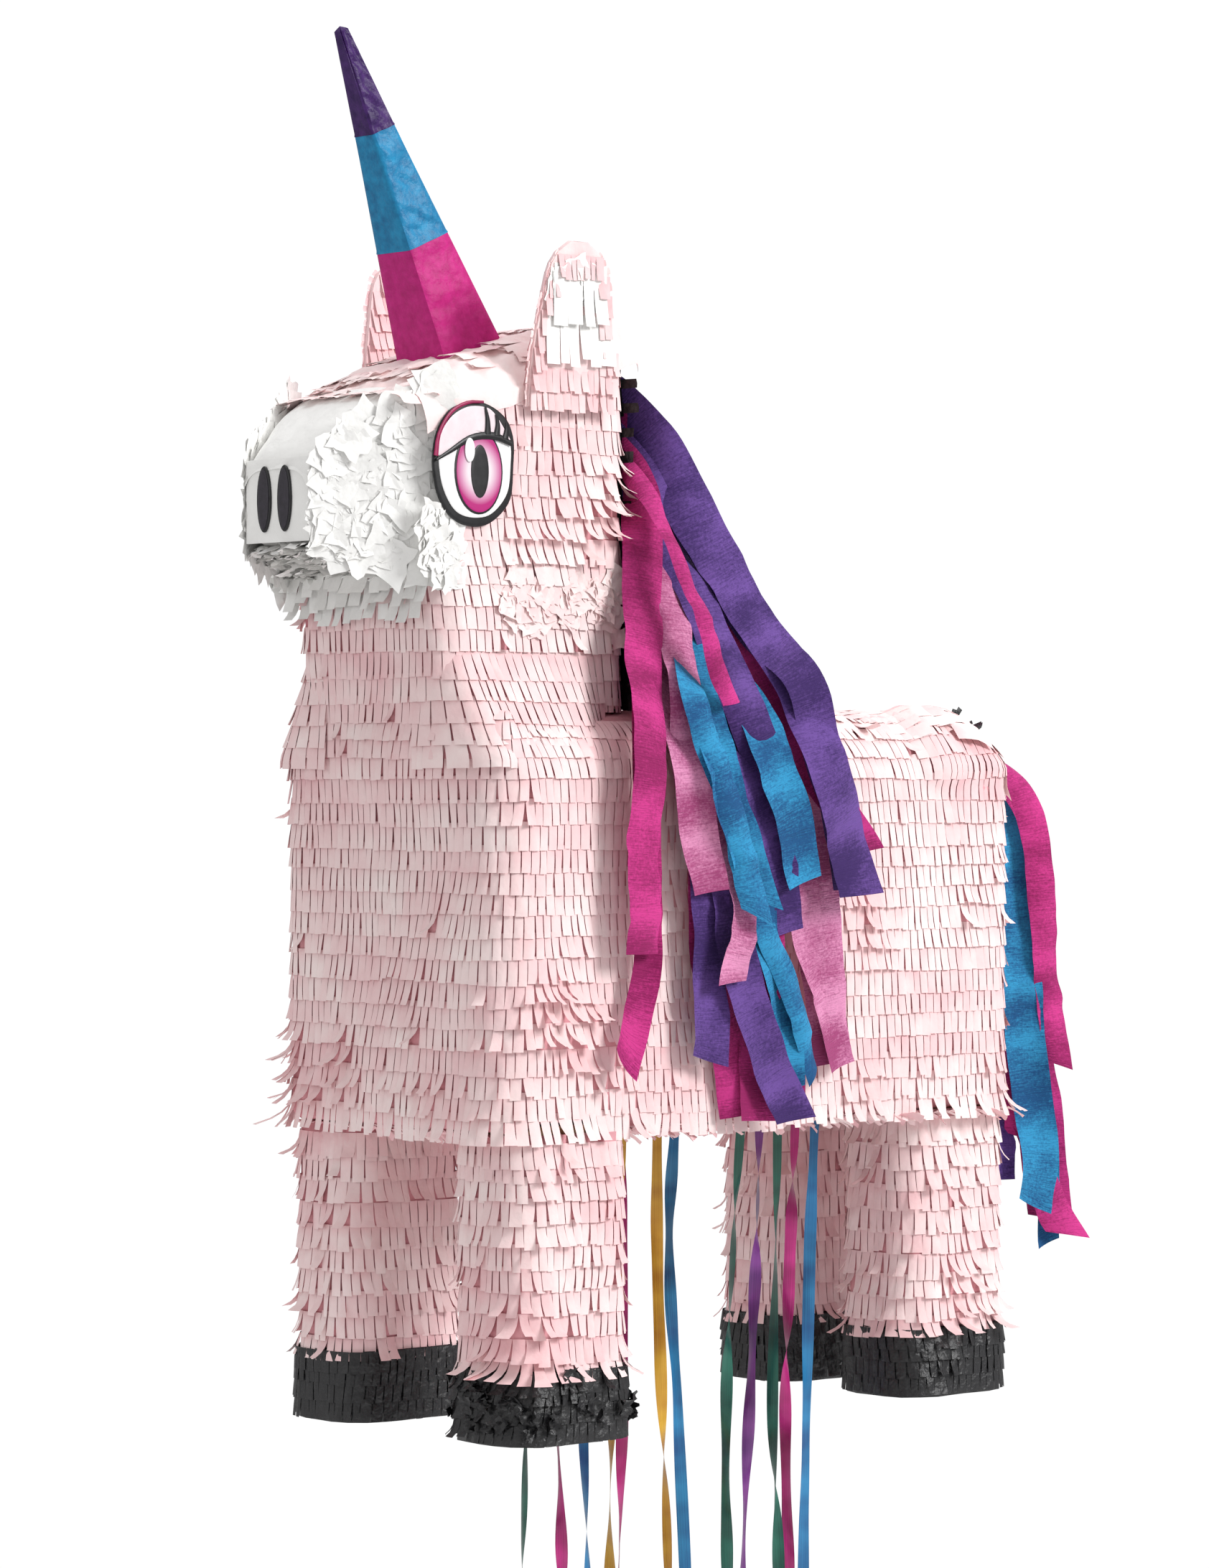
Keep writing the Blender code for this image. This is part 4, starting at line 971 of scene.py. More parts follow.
def add_shoulders():
    rng = random.Random(77)
    cut = Cut()
    ground = Cut()
    for sign in (-1, 1):
        surface, top, low = shoulder(sign)
        rows = []
        for step in range(9):
            z = top - (top - low) * step / 8
            rows.append([surface(0.026 + 0.0036 * j, z)[0] - surface(0.026 + 0.0036 * j, z)[1] * 0.0006
                         for j in range(25)])
        ground.grid(rows, 0.35)
        z = top - 0.0015
        while z > low + 0.001:
            a = 0.026
            row_tone = rng.uniform(0.5, 0.72)
            while a < 0.114:
                width = rng.uniform(0.0031, 0.0050)
                middle = a + width / 2
                a += width * 1.02
                point = surface(middle, z)[0]
                rough = ruffled(point)
                flat = 0.4 if sign > 0 and point.y > at(0, -0.090, 0).y else 0.75
                flat *= 0.5 if z < low + 0.012 else 1.0
                finger(cut, rng, surface, middle, z + waver(5, middle + z, 14.0) * 0.0006, width,
                       PITCH * rng.uniform(1.14, 1.2), flat * (0.8 + rough), rough * rng.uniform(0.0, 0.004),
                       rng.gauss(0.0, 0.0001 + 0.001 * rough), row_tone + rng.uniform(-0.1, 0.1))
            z -= PITCH * rng.uniform(0.9, 1.02)
    place("shoulder_ground", ground.mesh("shoulder_ground"), PINK_SHADE_GROUND, "carcass", "pink_tissue")
    place("shoulder_fringe", cut.mesh("shoulder_fringe"), PINK, "carcass", "pink_tissue")


def forehead_point(x, y):
    edge = abs(x) - (NECK_HIGH.x - ROOF_ROUND)
    side = min(max(edge, 0.0), ROOF_ROUND * 0.98)
    drop = ROOF_ROUND - sqrt(ROOF_ROUND ** 2 - side ** 2)
    swell = (0.005 * ease((y - at(0, -0.150, 0).y) / 0.03) * (1 - ease((y - at(0, -0.060, 0).y) / 0.013))
             * (1 - ease((edge + 0.008) / 0.018)))
    normal = Vector((side / ROOF_ROUND * (1 if x > 0 else -1), -0.28, 0.96)).normalized()
    return Vector((x, y, head_edge(y) - drop + swell)), normal


def add_forehead():
    """Rows across the sloping head top, fingers pointing to the nose, crumpled round the horn."""
    rng = random.Random(83)
    cut = Cut()
    horn_y = at(0, -0.100, 0).y
    rows = []
    for i in range(61):
        y = at(0, -0.1502, 0).y + (NECK_HIGH.y + 0.0018 - at(0, -0.1502, 0).y) * i / 60
        row = []
        for j in range(53):
            x = (j / 26 - 1) * (NECK_HIGH.x + 0.0006)
            point, normal = forehead_point(x, y)
            crumple = (noise.noise(point * 110.0) * 0.0016 + noise.noise(point * 260.0) * 0.0010
                       + noise.noise(point * 520.0) * 0.0004)
            point = point + normal * (0.0016 + crumple)
            point.z = min(point.z, NECK_HIGH.z + 0.004)
            row.append(point)
        for end, side in ((0, -1), (-1, 1)):
            ruffle = 0.0015 * noise.noise(row[end] * 90.0)
            hem = Vector((side * (NECK_HIGH.x + 0.0014), y, row[end].z - 0.0050 - ruffle))
            row.insert(0 if side < 0 else len(row), hem)
        rows.append(row)
    for step in (0.0035, 0.0070):
        rows.append([Vector((point.x, NECK_HIGH.y + 0.0024, point.z - step - 0.001 * noise.noise(point * 150.0)))
                     for point in rows[60]])
    cut.grid(rows, 0.8)
    y = at(0, -0.147, 0).y
    while y < NECK_HIGH.y - 0.004:
        x = -0.038
        while x < 0.038:
            width = rng.uniform(0.0028, 0.0048)
            middle = x + width / 2
            x += width * 1.02

            def roof(a, s):
                point, normal = forehead_point(a, y + s)
                return point + normal * 0.0016, normal

            if abs(middle) < 0.017 and abs(y - horn_y) < 0.018:
                continue
            finger(cut, rng, roof, middle, 0.0, width, 0.0100 * rng.uniform(0.85, 1.1), 0.5,
                   rng.uniform(0.0, 0.0010), rng.gauss(0.0, 0.0010), rng.uniform(0.75, 1.0), 0.99)
        y += PITCH * rng.uniform(2.0, 2.5)
    for _ in range(30):
        x = rng.uniform(-0.040, 0.040)
        y = rng.uniform(at(0, -0.150, 0).y, at(0, -0.060, 0).y)
        if abs(x) < 0.019 and abs(y - horn_y) < 0.019:
            continue
        point, normal = forehead_point(x, y)
        tuft(cut, rng, point + normal * 0.001, normal, rng.uniform(0.008, 0.013), rng.uniform(0.0005, 0.0016),
             rng.uniform(0.6, 0.95))
    place("forehead_tissue", cut.mesh("forehead_tissue"), PINK, "carcass", "pink_tissue")


add_head()
add_shoulders()
add_forehead()

# ---------------------------------------------------------------- muzzle

NOSE_Y = MUZZLE_LOW.y
JOIN_Y = at(0, -0.1450, 0).y
NOSE_HALF = 0.0185
JOIN_HALF = 0.0405


def muzzle_half(y):
    return NOSE_HALF + (y - NOSE_Y) / (JOIN_Y - NOSE_Y) * (JOIN_HALF - NOSE_HALF)


def muzzle_top(y):
    share = (y - NOSE_Y) / (at(0, -0.1507, 0).y - NOSE_Y)
    return at(0, 0, 0.370).z + share * 0.024


def muzzle_bottom(y):
    share = (y - NOSE_Y) / (JOIN_Y - NOSE_Y)
    return at(0, 0, 0.340).z - share * 0.011


def add_muzzle():
    rng = random.Random(97)
    cut = Cut()
    rows = []
    tones = []
    steps = 22
    for i in range(steps + 1):
        share = i / steps
        y = NOSE_Y - 0.0012 + share * (at(0, -0.1440, 0).y - NOSE_Y)
        half = muzzle_half(y) + 0.0012 + 0.0010 * noise.noise(Vector((y * 150, 3.1, 0)))
        row = []
        for j in range(17):
            across = j / 8 - 1
            sag = 0.0055 * across ** 6 + 0.0012 * across * across
            crease = noise.noise(Vector((across * 2.2, y * 60, 1.7))) * 0.0007
            low_front = 0.004 * (1 - ease(share / 0.10)) ** 2
            z = muzzle_top(y) + 0.0042 * sin(pi * min(share * 0.8 + 0.12, 1)) - sag + crease - low_front
            row.append(Vector((across * half, y, z)))
        rows.append(row)
        tones.append(0.95)
    cut.grid(rows, tones)
    place("muzzle_top_sheet", cut.mesh("muzzle_top_sheet"), WHITE, "carcass", "white_tissue")

    cut = Cut()
    slope = (JOIN_HALF - NOSE_HALF) / (JOIN_Y - NOSE_Y)
    for side in (-1, 1):
        normal = Vector((side, -slope, 0)).normalized()
        for _ in range(190):
            y = rng.uniform(NOSE_Y + 0.0045, at(0, -0.1410, 0).y)
            size = min(rng.uniform(0.0105, 0.0170), 1.7 * (y - NOSE_Y + 0.0012))
            low, high = muzzle_bottom(y), muzzle_top(y)
            z = rng.uniform(low - 0.001, high - 0.001)
            x = min(muzzle_half(y), NECK_HIGH.x) * side
            tilt = (normal + Vector((rng.gauss(0, 0.06), rng.gauss(0, 0.06), rng.gauss(0, 0.06)))).normalized()
            tuft(cut, rng, Vector((x, y, z)) + normal * rng.uniform(0.0002, 0.0012), tilt,
                 size, rng.uniform(0.0003, 0.0009) * min(size / 0.012, 1.0), rng.uniform(0.7, 1.0))
    for _ in range(80):
        y = rng.uniform(at(0, -0.150, 0).y, at(0, -0.136, 0).y)
        side = rng.choice((-1, 1))
        z = rng.uniform(at(0, 0, 0.324).z, at(0, 0, 0.350).z)
        tuft(cut, rng, Vector((side * NECK_HIGH.x, y, z)), Vector((side, 0, -0.1)).normalized(),
             rng.uniform(0.007, 0.012), rng.uniform(0.0005, 0.0018), rng.uniform(0.5, 1.0))
    place("muzzle_crumpled_tissue", cut.mesh("muzzle_crumpled_tissue"), WHITE, "carcass", "white_tissue")

    # The tufts and fingers under the jaw take lower tones than the sides of the muzzle: painted shade under the
    # muzzle.
    cut = Cut()
    for _ in range(130):
        y = rng.uniform(NOSE_Y + 0.002, JOIN_Y)
        half = muzzle_half(y)
        x = rng.uniform(-half, half)
        tuft(cut, rng, Vector((x, y, muzzle_bottom(y))), Vector((rng.gauss(0, 0.2), 0.25, -1)).normalized(),
             rng.uniform(0.008, 0.012), rng.uniform(0.0006, 0.0020), rng.uniform(0.4, 0.9))
    for row in range(3):
        x = -0.040
        while x < 0.040:
            width = rng.uniform(0.005, 0.008)

            def throat(a, s):
                y = at(0, -0.1475 + 0.0015 * row, 0).y
                return Vector((a, y, at(0, 0, 0.3325).z - 0.006 * row + s)), Vector((0, -1, 0.1)).normalized()

            finger(cut, rng, throat, x, 0.0, width, rng.uniform(0.009, 0.013), 1.2, rng.uniform(0.0, 0.002),
                   rng.gauss(0.0, 0.0006), rng.uniform(0.35, 0.8))
            x += width
    place("muzzle_under_tissue", cut.mesh("muzzle_under_tissue"), WHITE, "carcass", "white_tissue")

    front = Cut()
    rows = []
    for i in range(13):
        v = i / 12
        row = []
        for j in range(15):
            u = j / 7 - 1
            half = NOSE_HALF + 0.0008
            z = at(0, 0, 0.3392).z + v * 0.0315
            edge = max(abs(u), abs(2 * v - 1))
            y = NOSE_Y - 0.0011 + 0.0012 * edge ** 6 + 0.0003 * noise.noise(Vector((u * 3, v * 4, 8)))
            row.append(Vector((u * half, y, z)))
        rows.append(row)
    front.grid(rows, 0.9)
    place("muzzle_front_sheet", front.mesh("muzzle_front_sheet"), WHITE, "carcass", "white_tissue")


def plate(name, outline, thickness, matrix, paint, slot, replaces=(), dome=0.0):
    """Sticker: a bevelled plate with the outline in local XY, thickness along +Z."""
    count = len(outline)
    middle = Vector((sum(p[0] for p in outline) / count, sum(p[1] for p in outline) / count))
    cut = Cut()
    rings = ((1.0, 0.0), (1.0, 0.55), (0.985, 0.85), (0.95, 1.0), (0.66, 1.0), (0.33, 1.0))
    rows = []
    for share, high in rings:
        row = []
        for x, y in outline:
            flat = middle + (Vector((x, y)) - middle) * share
            lift = thickness * high + dome * (1 - share * share)
            row.append(matrix @ Vector((flat.x, flat.y, lift)))
        rows.append(row)
    cut.grid(rows, 0.5, wrap=True)
    cut.fan(rows[-1], matrix @ Vector((middle.x, middle.y, thickness + dome)))
    cut.fan(rows[0][::-1], matrix @ Vector((middle.x, middle.y, 0.0)))
    mesh = cut.mesh(name)
    bm = bmesh.new()
    bm.from_mesh(mesh)
    bmesh.ops.remove_doubles(bm, verts=bm.verts, dist=0.000001)
    bmesh.ops.recalc_face_normals(bm, faces=bm.faces)
    bm.to_mesh(mesh)
    bm.free()
    mesh.shade_smooth()
    mesh.set_sharp_from_angle(angle=radians(35))
    return place(name, mesh, paint, "carcass", slot, replaces)


def oval(half_x, half_y, centre=(0.0, 0.0), count=40, square=2.0):
    """Closed oval; square above 2 gives fuller corners."""
    made = []
    for index in range(count):
        angle = 2 * pi * index / count
        c, s = cos(angle), sin(angle)
        made.append((centre[0] + half_x * abs(c) ** (2 / square) * (1 if c > 0 else -1),
                     centre[1] + half_y * abs(s) ** (2 / square) * (1 if s > 0 else -1)))
    return made


def add_nostrils():
    for label in ("left", "right"):
        low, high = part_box("nostril_" + label)
        centre = (low + high) / 2
        upright = Matrix.Rotation(radians(90), 4, "X")
        base = Matrix.Translation((centre.x, NOSE_Y - 0.0012, centre.z)) @ upright
        half_x = (high.x - low.x) / 2
        half_z = (high.z - low.z) / 2
        plate("nostril_rim_" + label, oval(half_x, half_z), 0.0007, base, EYE_BLACK, "nostril_card")
        plate("nostril_disc_" + label, oval(half_x - 0.0009, half_z - 0.0011), 0.0004,
              base @ Matrix.Translation((0, 0, 0.0006)), NOSTRIL, "nostril_card", ("nostril_" + label,))


def stroke(points, widths, samples=14):
    """Outline of a tapering brush stroke through the points."""
    line = smooth_line([Vector((x, y, 0)) for x, y in points], samples)
    left = []
    right = []
    for index, point in enumerate(line):
        ahead = line[min(index + 1, samples - 1)] - line[max(index - 1, 0)]
        across = Vector((-ahead.y, ahead.x, 0)).normalized()
        share = index / (samples - 1)
        at_width = share * (len(widths) - 1)
        k = min(int(at_width), len(widths) - 2)
        half = (widths[k] + (widths[k + 1] - widths[k]) * (at_width - k)) / 2
        left.append((point.x + across.x * half, point.y + across.y * half))
        right.append((point.x - across.x * half, point.y - across.y * half))
    return left + right[::-1]


def band(name, points, widths, thickness, matrix, paint, slot):
    """Raised brush stroke as a strip."""
    outline = stroke(points, widths)
    half = len(outline) // 2
    cut = Cut()
    left = outline[:half]
    right = outline[half:][::-1]
    rows = []
    for (lx, ly), (rx, ry) in zip(left, right):
        a = Vector((lx, ly, 0))
        b = Vector((rx, ry, 0))
        top = Vector((0, 0, thickness))
        rows.append([matrix @ p for p in (a, a.lerp(b, 0.08) + top, a.lerp(b, 0.5) + top, b.lerp(a, 0.08) + top, b)])
    cut.grid(rows, 0.5)
    return place(name, cut.mesh(name), paint, "carcass", slot)


EYE_FILM = 0.0003    # thickness of each printed layer of the eye stickers


def add_eyes():
    """Printed eye stickers: black rim, white, iris, pupil, lid and lashes. +X local is towards the tail."""
    for side, label in ((1, "left"), (-1, "right")):
        turn = Matrix(((0, 0, side), (1, 0, 0), (0, 1, 0))).to_4x4()
        base = Matrix.Translation((side * (NECK_HIGH.x + 0.0019), EYE_Y, EYE_Z)) @ turn
        lift = 0.0005

        def level(number):
            return base @ Matrix.Translation((0, 0, lift * number))

        rim = [(-0.0196, 0.0020), (-0.0190, -0.0060), (-0.0168, -0.0132), (-0.0120, -0.0196), (-0.0050, -0.0232),
               (0.0040, -0.0236), (0.0120, -0.0200), (0.0186, -0.0125), (0.0200, 0.0000), (0.0202, 0.0090),
               (0.0176, 0.0160), (0.0120, 0.0206), (0.0040, 0.0232), (-0.0040, 0.0226), (-0.0120, 0.0190),
               (-0.0176, 0.0110)]
        rim = closed_smooth(rim, 64)
        plate("eye_rim_" + label, rim, 0.0010, base, EYE_BLACK, "eye_card", ("eye_" + label,))
        white = closed_smooth([(-0.0168, 0.0040), (-0.0165, -0.0050), (-0.0140, -0.0120), (-0.0095, -0.0178),
                               (-0.0035, -0.0202), (0.0050, -0.0200), (0.0112, -0.0168), (0.0166, -0.0100),
                               (0.0180, 0.0000), (0.0176, 0.0080), (0.0110, 0.0120), (0.0000, 0.0115),
                               (-0.0110, 0.0070)], 56)
        plate("eye_white_" + label, white, 0.0004, level(2), EYE_WHITE, "eye_card")
        plate("eye_ring_" + label, oval(0.0118, 0.0162, (0.0020, -0.0030)), EYE_FILM, level(2.8), EYE_BLACK,
              "eye_card")
        plate("eye_iris_" + label, oval(0.0110, 0.0154, (0.0020, -0.0030)), EYE_FILM, level(3.3), IRIS, "eye_card")
        plate("eye_pupil_" + label, oval(0.0043, 0.0100, (0.0022, -0.0030)), EYE_FILM, level(3.9), EYE_BLACK,
              "eye_card")
        plate("eye_glint_" + label, oval(0.0024, 0.0046, (-0.0030, 0.0048), 24), EYE_FILM, level(4.5), EYE_WHITE,
              "eye_card")
        lid = closed_smooth([(-0.0184, 0.0025), (-0.0166, 0.0105), (-0.0112, 0.0172), (-0.0036, 0.0210),
                             (0.0040, 0.0214), (0.0090, 0.0196), (0.0150, 0.0128), (0.0172, 0.0088),
                             (0.0090, 0.0108), (-0.0020, 0.0095), (-0.0120, 0.0042)], 48)
        plate("eye_lid_" + label, lid, EYE_FILM, level(3.4), EYE_LID, "eye_card")
        band("eye_lid_line_" + label, [(-0.0190, 0.0005), (-0.0120, 0.0042), (-0.0020, 0.0094), (0.0090, 0.0106),
                                       (0.0180, 0.0080)], (0.0010, 0.0020, 0.0026, 0.0030, 0.0020), EYE_FILM,
             level(4.2), EYE_BLACK, "eye_card")
        band("eye_lid_edge_" + label, [(-0.0192, 0.0020), (-0.0176, 0.0104), (-0.0118, 0.0186), (-0.0038, 0.0226),
                                       (0.0040, 0.0232)], (0.0022, 0.0016, 0.0014, 0.0014, 0.0010), EYE_FILM,
             level(3.9), EYE_CRIMSON, "eye_card")
        for number, (foot, bend, tip) in enumerate((((0.0060, 0.0112), (0.0058, 0.0165), (0.0046, 0.0216)),
                                                    ((0.0104, 0.0108), (0.0108, 0.0150), (0.0098, 0.0190)),
                                                    ((0.0146, 0.0098), (0.0152, 0.0132), (0.0148, 0.0160)))):
            band(f"eye_lash_{number}_{label}", [foot, bend, tip], (0.0030, 0.0020, 0.0006), EYE_FILM, level(4.6),
                 EYE_BLACK, "eye_card")


def closed_smooth(points, count):
    """Closed smooth outline through the points."""
    ring = [Vector((x, y, 0)) for x, y in points]
    total = len(ring)
    made = []
    for index in range(count):
        place_on = index / count * total
        k = int(place_on)
        t = place_on - k
        p0, p1, p2, p3 = (ring[(k + step - 1) % total] for step in range(4))
        point = 0.5 * (2 * p1 + (p2 - p0) * t + (2 * p0 - 5 * p1 + 4 * p2 - p3) * t * t
                       + (3 * p1 - p0 - 3 * p2 + p3) * t ** 3)
        made.append((point.x, point.y))
    return made


def iris_paint():
    """Magenta iris that pales towards its middle."""
    shade = Shade("sticker_iris")
    place_node = shade.node("ShaderNodeTexCoord")
    split = shade.node("ShaderNodeSeparateXYZ")
    shade.link(place_node.outputs["Object"], split.inputs["Vector"])
    down = shade.node("ShaderNodeMath", operation="SUBTRACT")
    down.inputs[1].default_value = EYE_Z - 0.003
    shade.link(split.outputs["Z"], down.inputs[0])
    tall = shade.node("ShaderNodeMath", operation="DIVIDE")
    tall.inputs[1].default_value = 0.0138
    shade.link(down.outputs[0], tall.inputs[0])
    along = shade.node("ShaderNodeMath", operation="SUBTRACT")
    along.inputs[1].default_value = EYE_Y + 0.002
    shade.link(split.outputs["Y"], along.inputs[0])
    wide = shade.node("ShaderNodeMath", operation="DIVIDE")
    wide.inputs[1].default_value = 0.0124
    shade.link(along.outputs[0], wide.inputs[0])
    join = shade.node("ShaderNodeCombineXYZ")
    shade.link(wide.outputs[0], join.inputs["X"])
    shade.link(tall.outputs[0], join.inputs["Y"])
    length = shade.node("ShaderNodeVectorMath", operation="LENGTH")
    shade.link(join.outputs[0], length.inputs[0])
    shade.link(shade.ramp(length.outputs["Value"], [(0.45, (0.82, 0.74, 0.78)), (0.72, (0.66, 0.28, 0.46)),
                                                    (0.92, (0.46, 0.01, 0.18))]),
               shade.shader.inputs["Base Color"])
    shade.shader.inputs["Roughness"].default_value = 0.4
    return shade.material


IRIS = iris_paint()
add_muzzle()
add_nostrils()
add_eyes()

# ---------------------------------------------------------------- ears


def ear_shape(u, v):
    """Ear outline: u from -1 to 1 across, v from 0 at the foot to 1 at the round top."""
    taper = 0.0205 - 0.0052 * ease((v - 0.25) / 0.6)
    half = taper * (sqrt(max(1 - ((v - 0.72) / 0.285) ** 2, 0.0)) if v > 0.72 else 1.0)
    return u * half, v * 0.0640


def add_ears():
    rng = random.Random(131)
    for side, label in ((1, "left"), (-1, "right")):
        foot_x = side * (NECK_HIGH.x + 0.0026)
        splay = radians(6.0) * side
        base = Matrix.Translation((foot_x, EAR_Y, EAR_LOW.z)) @ Matrix.Rotation(splay, 4, "Y")

        def ear_surface(out):
            def surface(a, s):
                x = out * 0.0012 * side
                cup = 0.010 * (a / 0.0215) ** 2 * 0.12
                point = base @ Vector((x + side * cup * 0.5, a, s))
                normal = (base.to_3x3() @ Vector((out * side, 0, 0.05))).normalized()
                return point, normal
            return surface

        cut = Cut()
        for out in (1, -1):
            rows = []
            surface = ear_surface(out)
            for i in range(15):
                row = []
                for j in range(11):
                    a, s = ear_shape(j / 5 - 1, i / 14 * 0.995)
                    point, normal = surface(a, s)
                    edge = 1 - max(abs(j / 5 - 1), abs(i / 7 - 1) if i > 7 else 0) ** 4
                    row.append(point + normal * (0.0004 * edge + 0.0003 * noise.noise(point * 220)))
                rows.append(row)
            cut.grid(rows, 0.6)
        rim = []
        for j in range(15):
            rim.append(ear_shape(-1, j / 14 * 0.995))
        for j in range(15):
            rim.append(ear_shape(1, (1 - j / 14) * 0.995))
        rows = []
        for out in (1, -1):
            surface = ear_surface(out)
            rows.append([surface(a, s)[0] for a, s in rim])
        cut.grid(rows, 0.5)
        place("ear_card_" + label, cut.mesh("ear_card_" + label), PINK, "carcass", "pink_tissue",
              ("ear_" + label,))

        pink = Cut()
        white = Cut()
        for out in (1, -1):
            surface = ear_surface(out)
            level = 0.0085
            while level < 0.065:
                half = ear_shape(1, min(level / 0.0640, 0.985))[0]
                a = -half
                while a < half:
                    width = rng.uniform(0.0026, 0.0042)
                    middle = a + width / 2
                    a += width
                    share = abs(middle) / max(half, 0.001)
                    inner = out == 1 and share < 0.70 and 0.022 < level < 0.056
                    if inner:
                        continue
                    finger(pink, rng, surface, middle, level - 0.0005, width, 0.0095 * rng.uniform(0.9, 1.05), 1.0,
                           rng.uniform(0.0, 0.0012), rng.gauss(0.0, 0.0003), rng.uniform(0.3, 0.6))
                level += 0.0072
            if out == 1:
                for top, reach, half in ((0.036, 0.019, 0.0150), (0.055, 0.023, 0.0125)):
                    a = -half
                    while a < half:
                        width = rng.uniform(0.0045, 0.0075)
                        finger(white, rng, surface, a + width / 2, top, width, reach * rng.uniform(0.9, 1.1), 1.6,
                               rng.uniform(0.0, 0.0008), rng.gauss(0.0, 0.0006), rng.uniform(0.75, 1.0), 0.99, 8)
                        a += width
                for _ in range(12):
                    point, normal = surface(rng.uniform(-0.010, 0.010), rng.uniform(0.040, 0.055))
                    tuft(white, rng, point, normal, rng.uniform(0.009, 0.013), rng.uniform(0.0004, 0.0010),
                         rng.uniform(0.85, 1.0))
        for edge in (-1, 1):
            v = 0.02
            while v < 0.93:
                a, s = ear_shape(edge, v)
                ahead = ear_shape(edge, v + 0.01)
                way = Vector((ahead[0] - a, ahead[1] - s)).normalized()
                away = Vector((way.y * edge, -way.x * edge)) * 1.0
                if away.x * edge < 0:
                    away = -away

                def brim(p, q, a=a, s=s, way=way, away=away):
                    point = base @ Vector((0, a + way.x * p - away.x * q, s + way.y * p - away.y * q))
                    return point, (base.to_3x3() @ Vector((side, 0, 0))).normalized()

                finger(pink, rng, brim, 0.0, 0.001, rng.uniform(0.0025, 0.0038), rng.uniform(0.0015, 0.0030), 0.6)
                v += 0.045
        place("ear_fringe_" + label, pink.mesh("ear_fringe_" + label), PINK, "carcass", "pink_tissue")
        place("ear_lining_" + label, white.mesh("ear_lining_" + label), WHITE, "carcass", "white_tissue")


add_ears()

# ---------------------------------------------------------------- horn

HORN_LEAN = radians(24.0)
HORN_LENGTH = 0.134
HORN_HALF = 0.0155
HORN_TIP_HALF = 0.0022
HORN = Matrix.Translation(at(0, -0.100, 0.4122)) @ Matrix.Rotation(HORN_LEAN, 4, "X")


def horn_half(share):
    return HORN_HALF + (HORN_TIP_HALF - HORN_HALF) * share


